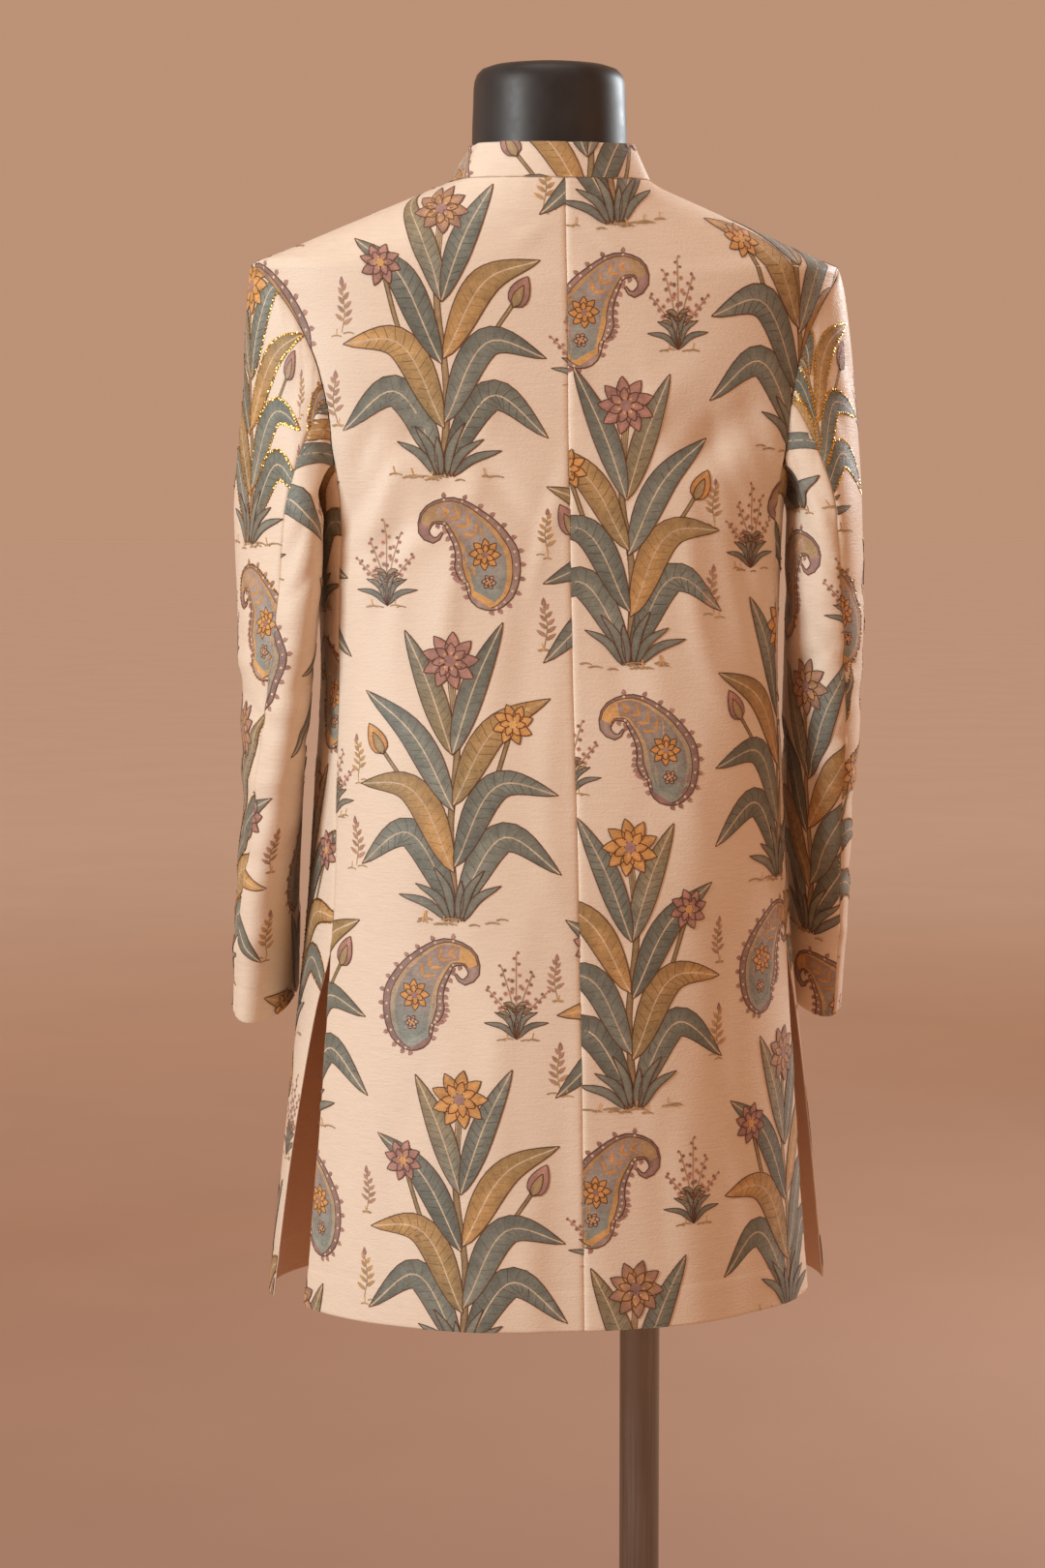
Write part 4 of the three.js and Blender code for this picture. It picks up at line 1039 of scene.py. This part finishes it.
def lay_stroke(cloth, grid, tone, layer):
    """One stroke on a panel: its points, normals, places, dyes and faces, or nothing."""
    low, high = grid.min(axis=(0, 1)), grid.max(axis=(0, 1))
    if (high < cloth.low).any() or (low > cloth.high).any():
        return None
    kind = cloth.panel.node.split("_")[0]
    most, fine, lift, rise = GRAIN[kind]
    if kind == "under":
        sharp = high[1] > SLEEVE_TOP - 12
    else:
        tip = np.interp(TIP_LEVEL, (HEM_LEVEL, TOP_LEVEL), (HEM_LEVEL, cloth.high[1]))
        sharp = high[1] > tip - 12 and low[1] < tip + 30
    grid, tone = refined(grid, tone, fine if sharp else most)
    point, normal, off, spot = cloth.place(grid.reshape(-1, 2))
    if off.min() > 0.3:
        return None
    if off.max() > 0.01 and not sharp:
        # It crosses the panel's edge, so it follows it in shorter steps.
        grid, tone = refined(grid, tone, min(most, 3.4))
        point, normal, off, spot = cloth.place(grid.reshape(-1, 2))
    on = (off < 0.6).reshape(grid.shape[:2])
    faces = quads(on[:-1, :-1] | on[1:, :-1] | on[:-1, 1:] | on[1:, 1:])
    if not len(faces):
        return None
    return point + normal * (lift + rise * layer), normal, spot, tone.reshape(-1, 3), faces


def print_on(cloth, material, sites):
    """Lays the design on a panel: one mesh of dyed faces just clear of the cloth. Gives the
    paths for gold thread too."""
    laid, layers, threads, total = [], [], [], 0
    for kind, which, x, y, flip, scale in sites:
        wide, tall = REACH[kind]
        if x + wide < cloth.low[0] or x - wide > cloth.high[0]:
            continue
        if y + tall < cloth.low[1] or y - 15 > cloth.high[1]:
            continue
        design, turn = motif(kind, which % 3), np.array([flip, 1]) * scale
        threads += [path * turn + (x, y) for path in design.gold]
        for grid, tone, layer in design.strokes:
            stroke = lay_stroke(cloth, grid * turn + (x, y), tone, layer)
            if stroke:
                *parts, faces = stroke
                laid.append(parts)
                layers.append((layer, faces + total))
                total += len(parts[0])
    verts, normals, flat, dyes = (np.concatenate(part) for part in zip(*laid))
    layers.sort(key=lambda item: item[0])
    faces = np.concatenate([item[1] for item in layers])
    # Each face is turned to look out, and slivers squeezed onto the panel's edge are dropped.
    p, q, r, s = (verts[faces[:, k]] for k in range(4))
    way = np.cross(r - p, s - q)
    inward = np.sum(way * normals[faces[:, 0]], axis=1) < 0
    faces[inward] = faces[inward][:, ::-1]
    used, faces = compact(faces[np.linalg.norm(way, axis=1) > 0.02], len(verts))
    item = add_mesh("print_" + cloth.panel.node, verts[used] * MM, faces, material)
    paint(item, uv_of(flat[used]), dyes[used], 1.0)
    item.data.normals_split_custom_set_from_vertices([tuple(n) for n in normals[used]])
    return item, threads


def sew_gold(cloth, threads, material):
    """Sequins along the threads' paths: low six-sided domes, each a little tilted."""
    rng = np.random.default_rng(5)
    spots = []
    for path in threads:
        step = np.linalg.norm(np.diff(path, axis=0), axis=1)
        walked = np.concatenate([[0], np.cumsum(step)])
        if walked[-1] >= 6:
            want = np.arange(1.5, walked[-1], 3.3)
            spots.append(np.stack([np.interp(want, walked, path[:, k]) for k in (0, 1)], axis=1))
    flat = np.concatenate(spots)
    flat = flat[((flat > cloth.low) & (flat < cloth.high)).all(axis=1)]
    point, normal, off, _ = cloth.place(flat)
    point, normal = point[off < 0.01], normal[off < 0.01]
    count = len(point)
    tilt = unit(normal + rng.normal(0, 0.16, (count, 3)))
    first = unit(np.cross(tilt, np.array([0.3, 0.2, 0.93])))
    second = np.cross(tilt, first)
    turn = (np.arange(6) * math.pi / 3)[None, :, None]
    size = rng.uniform(1.05, 1.35, count)[:, None, None]
    middle = point + normal * 0.62  # clear of the print
    rim = middle[:, None] + (first[:, None] * np.cos(turn) + second[:, None] * np.sin(turn)) * size
    top = middle + tilt * 0.22
    verts = np.concatenate([rim, top[:, None]], axis=1).reshape(-1, 3) * MM
    base = np.arange(count) * 7
    faces = [np.stack([base + k, base + (k + 1) % 6, base + 6], axis=1) for k in range(6)]
    return add_mesh("sequins_" + cloth.panel.node, verts, np.concatenate(faces), material, False)


# --- materials -----------------------------------------------------------------------

FLOOR_FADE = 8.0  # metres from the stand to where the floor's painted shade has paled into the backdrop
# The floor's painted shade: dark round the stand and pale far off, set by distance rather than by
# the lamps.
FLOOR_PAINTED_SHADE = (
    (0.0, (0.36, 0.215, 0.15)), (0.3, (0.50, 0.32, 0.225)), (0.6, (0.70, 0.53, 0.42)),
    (1.0, (0.80, 0.71, 0.65)),
)


class Look:
    """A node material with one Principled shader."""

    def __init__(self, name, rough, metal=0.0, specular=0.5):
        self.material = bpy.data.materials.new(name)
        self.material.use_nodes = True
        self.tree = self.material.node_tree
        self.tree.nodes.clear()
        out = self.node("OutputMaterial")
        self.shader = self.node("BsdfPrincipled")
        self.link(self.shader.outputs[0], out.inputs[0])
        self.give("Roughness", rough)
        self.give("Metallic", metal)
        self.give("Specular IOR Level", specular)

    def give(self, socket, value):
        """Sets a socket of the shader, to a value or from another node."""
        self.feed(self.shader.inputs[socket], value)

    def feed(self, socket, value):
        if hasattr(value, "is_output"):
            self.link(value, socket)
        else:
            socket.default_value = value

    def node(self, kind, **values):
        made = self.tree.nodes.new("ShaderNode" + kind)
        for key, value in values.items():
            if hasattr(made, key):
                setattr(made, key, value)
            else:
                made.inputs[key.replace("_", " ")].default_value = value
        return made

    def link(self, start, end):
        self.tree.links.new(start, end)

    def place(self):
        return self.node("TexCoord").outputs["Object"]

    def noise(self, scale, detail=3.0, rough=0.55, stretch=(1, 1, 1)):
        mapping = self.node("Mapping", Scale=stretch)
        self.link(self.place(), mapping.inputs["Vector"])
        noise = self.node("TexNoise", Scale=scale, Detail=detail, Roughness=rough)
        self.link(mapping.outputs[0], noise.inputs["Vector"])
        return noise.outputs[0]

    def range(self, value, low, high, start=0.3, end=0.7):
        made = self.node("MapRange", From_Min=start, From_Max=end, To_Min=low, To_Max=high)
        self.link(value, made.inputs["Value"])
        return made.outputs[0]

    def maths(self, operation, a, b):
        made = self.node("Math", operation=operation)
        self.feed(made.inputs[0], a)
        self.feed(made.inputs[1], b)
        return made.outputs[0]

    def bump(self, *heights):
        """heights are (value, strength, distance)."""
        previous = None
        for value, strength, distance in heights:
            made = self.node("Bump", Strength=strength, Distance=distance)
            self.link(value, made.inputs["Height"])
            if previous:
                self.link(previous, made.inputs["Normal"])
            previous = made.outputs[0]
        self.give("Normal", previous)

    def dye(self, colour, value):
        """The base colour, made lighter and darker by a value that varies."""
        made = self.node("VectorMath", operation="SCALE")
        self.feed(made.inputs[0], colour)
        self.link(value, made.inputs["Scale"])
        self.give("Base Color", made.outputs[0])


def cloth_look():
    look = Look("crepe_satin", 0.5, specular=0.32)
    dye = look.node("Attribute", attribute_name="Dye")
    ink = look.node("Attribute", attribute_name="Ink")
    slub = look.noise(1.0, 4.0, 0.6, stretch=(70, 70, 640))
    crepe = look.noise(560.0, stretch=(0.75, 0.75, 1.3))
    wash = look.noise(95.0, 4.0, 0.7)
    cloud = look.noise(7.0, 2.0)
    plain = look.maths("MULTIPLY", look.range(slub, 0.955, 1.03), look.range(cloud, 0.985, 1.015))
    inked = look.maths("MULTIPLY", look.range(wash, 0.76, 1.2), look.range(crepe, 0.88, 1.1))
    away = look.maths("SUBTRACT", inked, 1.0)
    tone = look.maths("ADD", 1.0, look.maths("MULTIPLY", away, ink.outputs["Fac"]))
    look.dye(dye.outputs["Color"], look.maths("MULTIPLY", plain, tone))
    look.give("Roughness", look.range(slub, 0.44, 0.6))
    look.give("Sheen Weight", 0.22)
    look.give("Sheen Roughness", 0.4)
    look.bump((slub, 0.35, 0.0007), (crepe, 0.6, 0.0005))
    return look.material


def gold_look():
    look = Look("gold_thread", 0.26, 1.0)
    tint = look.noise(420.0, 2.0)
    look.dye(linear(214, 168, 84), look.range(tint, 0.75, 1.15))
    look.give("Roughness", look.range(tint, 0.2, 0.42))
    return look.material


def thread_look():
    look = Look("thread", 0.6)
    look.give("Base Color", (*linear(206, 160, 120), 1))
    return look.material


def jersey_look():
    look = Look("black_jersey", 0.9, specular=0.2)
    knit = look.noise(700.0, 2.0, stretch=(1, 1, 2.4))
    look.dye((0.016, 0.0155, 0.016), look.range(look.noise(40.0), 0.8, 1.25))
    look.give("Sheen Weight", 0.3)
    look.bump((knit, 0.5, 0.0004))
    return look.material


def cap_look():
    look = Look("black_cap", 0.42, specular=0.45)
    haze = look.noise(30.0, 4.0)
    look.dye((0.022, 0.021, 0.021), look.range(haze, 0.8, 1.3))
    look.give("Specular Tint", (1, 0.86, 0.76, 1))
    look.give("Roughness", look.range(haze, 0.36, 0.52))
    look.bump((look.noise(1600.0, 2.0), 0.12, 0.0001))
    return look.material


def steel_look():
    look = Look("satin_steel", 0.3, 1.0)
    brush = look.noise(1.0, 4.0, 0.6, stretch=(500, 500, 9))
    cloud = look.range(look.noise(12.0), 0.93, 1.04)
    look.dye((0.29, 0.25, 0.22), look.maths("MULTIPLY", look.range(brush, 0.86, 1.08), cloud))
    look.give("Roughness", look.range(brush, 0.23, 0.42))
    look.bump((brush, 0.18, 0.0001))
    return look.material


def plate_look():
    look = Look("powder_coat", 0.5, 0.3)
    cloud = look.noise(9.0)
    look.dye((0.42, 0.42, 0.43), look.range(cloud, 0.92, 1.06))
    look.give("Roughness", look.range(cloud, 0.42, 0.56))
    look.bump((look.noise(850.0, 2.0), 0.22, 0.0002))
    return look.material


def floor_painted_light_look():
    """Canvas with painted shade round the stand that pales far off, where a painted glow blends the
    floor into the backdrop.
    """
    look = Look("floor_painted_shade_and_glow", 0.85, specular=0.2)
    reach = look.node("VectorMath", operation="LENGTH")
    look.link(look.place(), reach.inputs[0])
    ramp = look.node("ValToRGB")
    look.link(look.range(reach.outputs["Value"], 0.0, 1.0, 1.0, FLOOR_FADE), ramp.inputs[0])
    stops = ramp.color_ramp.elements
    for place, _ in FLOOR_PAINTED_SHADE[1:-1]:
        stops.new(place)
    for stop, (place, colour) in zip(stops, FLOOR_PAINTED_SHADE):
        stop.position, stop.color = place, (*colour, 1)
    look.dye(ramp.outputs[0], look.range(look.noise(2.2, 4.0), 0.975, 1.025))
    # Painted light: far off, the floor glows so that it meets the backdrop with no step.
    look.give("Emission Color", (0.096, 0.079, 0.063, 1))
    glow = look.range(reach.outputs["Value"], 0.0, 1.0, 3.0, FLOOR_FADE + 2.0)
    look.give("Emission Strength", glow)
    return look.material


# --- the hard parts ------------------------------------------------------------------


def softened(profile, radius, steps=4):
    """A profile with its corners rounded by up to a radius."""
    profile = [np.array(p, float) for p in profile]
    out = [profile[0]]
    for before, corner, after in zip(profile, profile[1:], profile[2:]):
        a, b = before - corner, after - corner
        cut = min(radius, 0.45 * np.linalg.norm(a), 0.45 * np.linalg.norm(b))
        start, end = corner + unit(a) * cut, corner + unit(b) * cut
        for t in np.arange(steps + 1) / steps:
            out.append(mix(mix(start, corner, t), mix(corner, end, t), t))
    return out + [profile[-1]]


def lathe(name, profile, segments, material, deep=1.0, place=Matrix()):
    """A turned solid. Its profile is [radius, height], from the axis back to the axis, or
    round to its own start."""
    closed = np.allclose(profile[0], profile[-1])
    verts, rings = [], []
    for radius, height in profile[:-1] if closed else profile:
        count = segments if radius > 0 else 1
        rings.append(len(verts) + np.arange(segments) % count)
        for k in range(count):
            x, y = polar(2 * math.pi * k / segments) * radius
            verts.append(place @ (Vector((x, y * deep, height)) * MM))
    faces = []
    for low, high in zip(rings, rings[1:] + rings[:1] if closed else rings[1:]):
        for a, b, c, d in zip(low, np.roll(low, -1), np.roll(high, -1), high):
            # A cell at the axis has two corners in one.
            faces.append([v for v, last in ((a, d), (b, a), (c, b), (d, c)) if v != last])
    return add_mesh(name, verts, faces, material)


def button(number, material):
    """A covered button on the left front's edge, and the place under it."""
    height = BUTTON_TOP - (number - 1) * BUTTON_STEP
    low, high = float(HEM_LEVEL), float(TOP_LEVEL)
    for _ in range(40):
        middle = (low + high) / 2
        point, normal = (v[0] for v in front_spot(1, np.array([middle]), 12.0, False))
        low, high = (middle, high) if point[2] < height else (low, middle)
    normal = unit(normal * np.array([0, 1, 1]))
    at = Matrix.Translation(Vector((point + normal * 0.5) * MM))
    place = at @ Vector(normal).to_track_quat("Z", "X").to_matrix().to_4x4()
    item = lathe(f"covered_button_{number}", softened(BUTTON, 1.4, 3), 48, material, place=place)
    spots = np.array([v.co[:] for v in item.data.vertices]) / MM
    # The button's cloth is the ground's dye made darker as painted shade, so it stands apart from
    # the front.
    paint(item, spots[:, [0, 2]] / MAP_WIDTH + 0.4, np.tile(GROUND * 0.86, (len(spots), 1)), 0.0)
    return item, point


def buttonhole(number, point, material):
    """Close stitches round a slit, lying on the lap from the button towards the edge."""
    verts, faces = [], []
    rng = np.random.default_rng(number)
    wide, tall, proud, sunk = 0.27, 0.85, -0.65, -0.2
    stitch = np.array([
        (-wide, sunk, -tall), (wide, sunk, -tall), (wide, sunk, tall), (-wide, sunk, tall),
        (0, proud, -tall / 2), (0, proud, tall / 2),
    ])
    for k in range(22):
        for way in (-1, 1):
            at = point + (-16 + k * 0.72, 0, way + rng.uniform(-0.1, 0.1))
            a, b, c, d, e, f = range(len(verts), len(verts) + 6)
            verts += list((at + stitch) * MM)
            faces += [(a, b, e), (b, c, f, e), (c, d, f), (d, a, e, f)]
    return add_mesh(f"buttonhole_{number}", verts, faces, material)


# --- putting it together -------------------------------------------------------------

# Where the flat design starts on each panel: no two panels are cut from the same place.
SHIFTS = {
    "back_left": (-60, 66), "back_right": (-118, 262), "front_left": (-40, 130),
    "front_right": (-96, 300), "top_sleeve_left": (10, 180), "top_sleeve_right": (-60, 20),
    "under_sleeve_left": (60, 330), "under_sleeve_right": (-20, 210), "collar": (20, 790),
}


def declare(item, node):
    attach(item, "root")
    if node:
        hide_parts(node)


def dress():
    fabric, gold, thread = cloth_look(), gold_look(), thread_look()
    panels = []
    for side, name in ((1, "left"), (-1, "right")):
        panels += [back_panel(side, name), front_panel(side, name), *sleeve(side, name)]
    panels.append(collar_panel())
    for number, panel in enumerate(panels):
        item = shell(panel, fabric, COLLAR_CLOTH if panel.node == "collar" else CLOTH)
        declare(item, panel.node)
        cloth = Cloth(panel)
        sites = lay_out(cloth.low, cloth.high, SHIFTS[panel.node], 20 + number)
        laid, threads = print_on(cloth, fabric, sites)
        pieces = [laid]
        if panel.node.startswith(("front", "top")):
            pieces.append(sew_gold(cloth, threads, gold))
        for piece in pieces:
            declare(piece, None)
    for number in range(1, BUTTON_COUNT + 1):
        item, point = button(number, fabric)
        declare(item, f"button_{number}")
        declare(buttonhole(number, point, thread), None)


def stand():
    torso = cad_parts["form_torso"]
    torso.data.materials.clear()
    torso.data.materials.append(jersey_look())
    forward = Matrix.Translation((0, 2.4 * MM, 0))
    cap = lathe("cap", CAP, 128, cap_look(), deep=0.955, place=forward)
    declare(cap, "neck_cap")
    steel = steel_look()
    side = Matrix.Translation((-77 * MM, 0, 0))
    for name, node, profile, radius, segments in (
        ("tube", "pole", TUBE, 0.8, 64), ("flange", "form_flange", FLANGE, 1.2, 96),
        ("socket", "base_socket", SOCKET, 1.5, 96),
    ):
        item = lathe(name, softened(profile, radius), segments, steel, place=side)
        declare(item, node)
    plate = lathe("plate", softened(PLATE, 1.5), 160, plate_look())
    declare(plate, "base_plate")


def studio():
    far = 90.0
    square = [(-far, -far, 0), (far, -far, 0), (far, far, 0), (-far, far, 0)]
    floor = add_mesh("floor", square, [(0, 1, 2, 3)], floor_painted_light_look(), False)
    floor.location.z = -0.0005
    world = bpy.data.worlds.new("studio")
    bpy.context.scene.world = world
    world.use_nodes = True
    world.node_tree.nodes["Background"].inputs[0].default_value = (0.50, 0.29, 0.185, 1)
    bpy.context.scene.view_settings.view_transform = "Standard"
    for name, place, size, power, tint in (
        ("key", (2.9, 1.7, 2.3), 0.9, 96, (0.77, 0.93, 1.03)),
        ("fill", (-2.8, 2.2, 1.7), 1.6, 7, (1, 0.62, 0.36)),
        ("front", (-2.9, -1.8, 2.3), 0.9, 89, (0.82, 0.93, 1)),
        ("front_fill", (2.8, -2.2, 1.6), 1.6, 4, (1, 0.78, 0.62)),
        ("top", (0.1, 0.3, 3.4), 1.2, 10, (0.9, 0.95, 1)),
    ):
        lamp = bpy.data.lights.new(name, "AREA")
        lamp.energy, lamp.color, lamp.size = power, tint, size
        item = bpy.data.objects.new(name, lamp)
        item.location = place
        aim = Vector((0, 0, 1.1)) - Vector(place)
        item.rotation_euler = aim.to_track_quat("-Z", "Y").to_euler()
        bpy.context.scene.collection.objects.link(item)


def camera():
    lens = bpy.data.cameras.new("camera")
    lens.lens, lens.sensor_fit, lens.sensor_height = 80, "VERTICAL", 36
    item = bpy.data.objects.new("camera", lens)
    item.location = (0.4645, 2.7968, 1.2538)
    item.rotation_euler = Vector((-0.1559, -0.9843, -0.0833)).to_track_quat("-Z", "Y").to_euler()
    bpy.context.scene.collection.objects.link(item)
    bpy.context.scene.camera = item


camera()
dress()
stand()
studio()
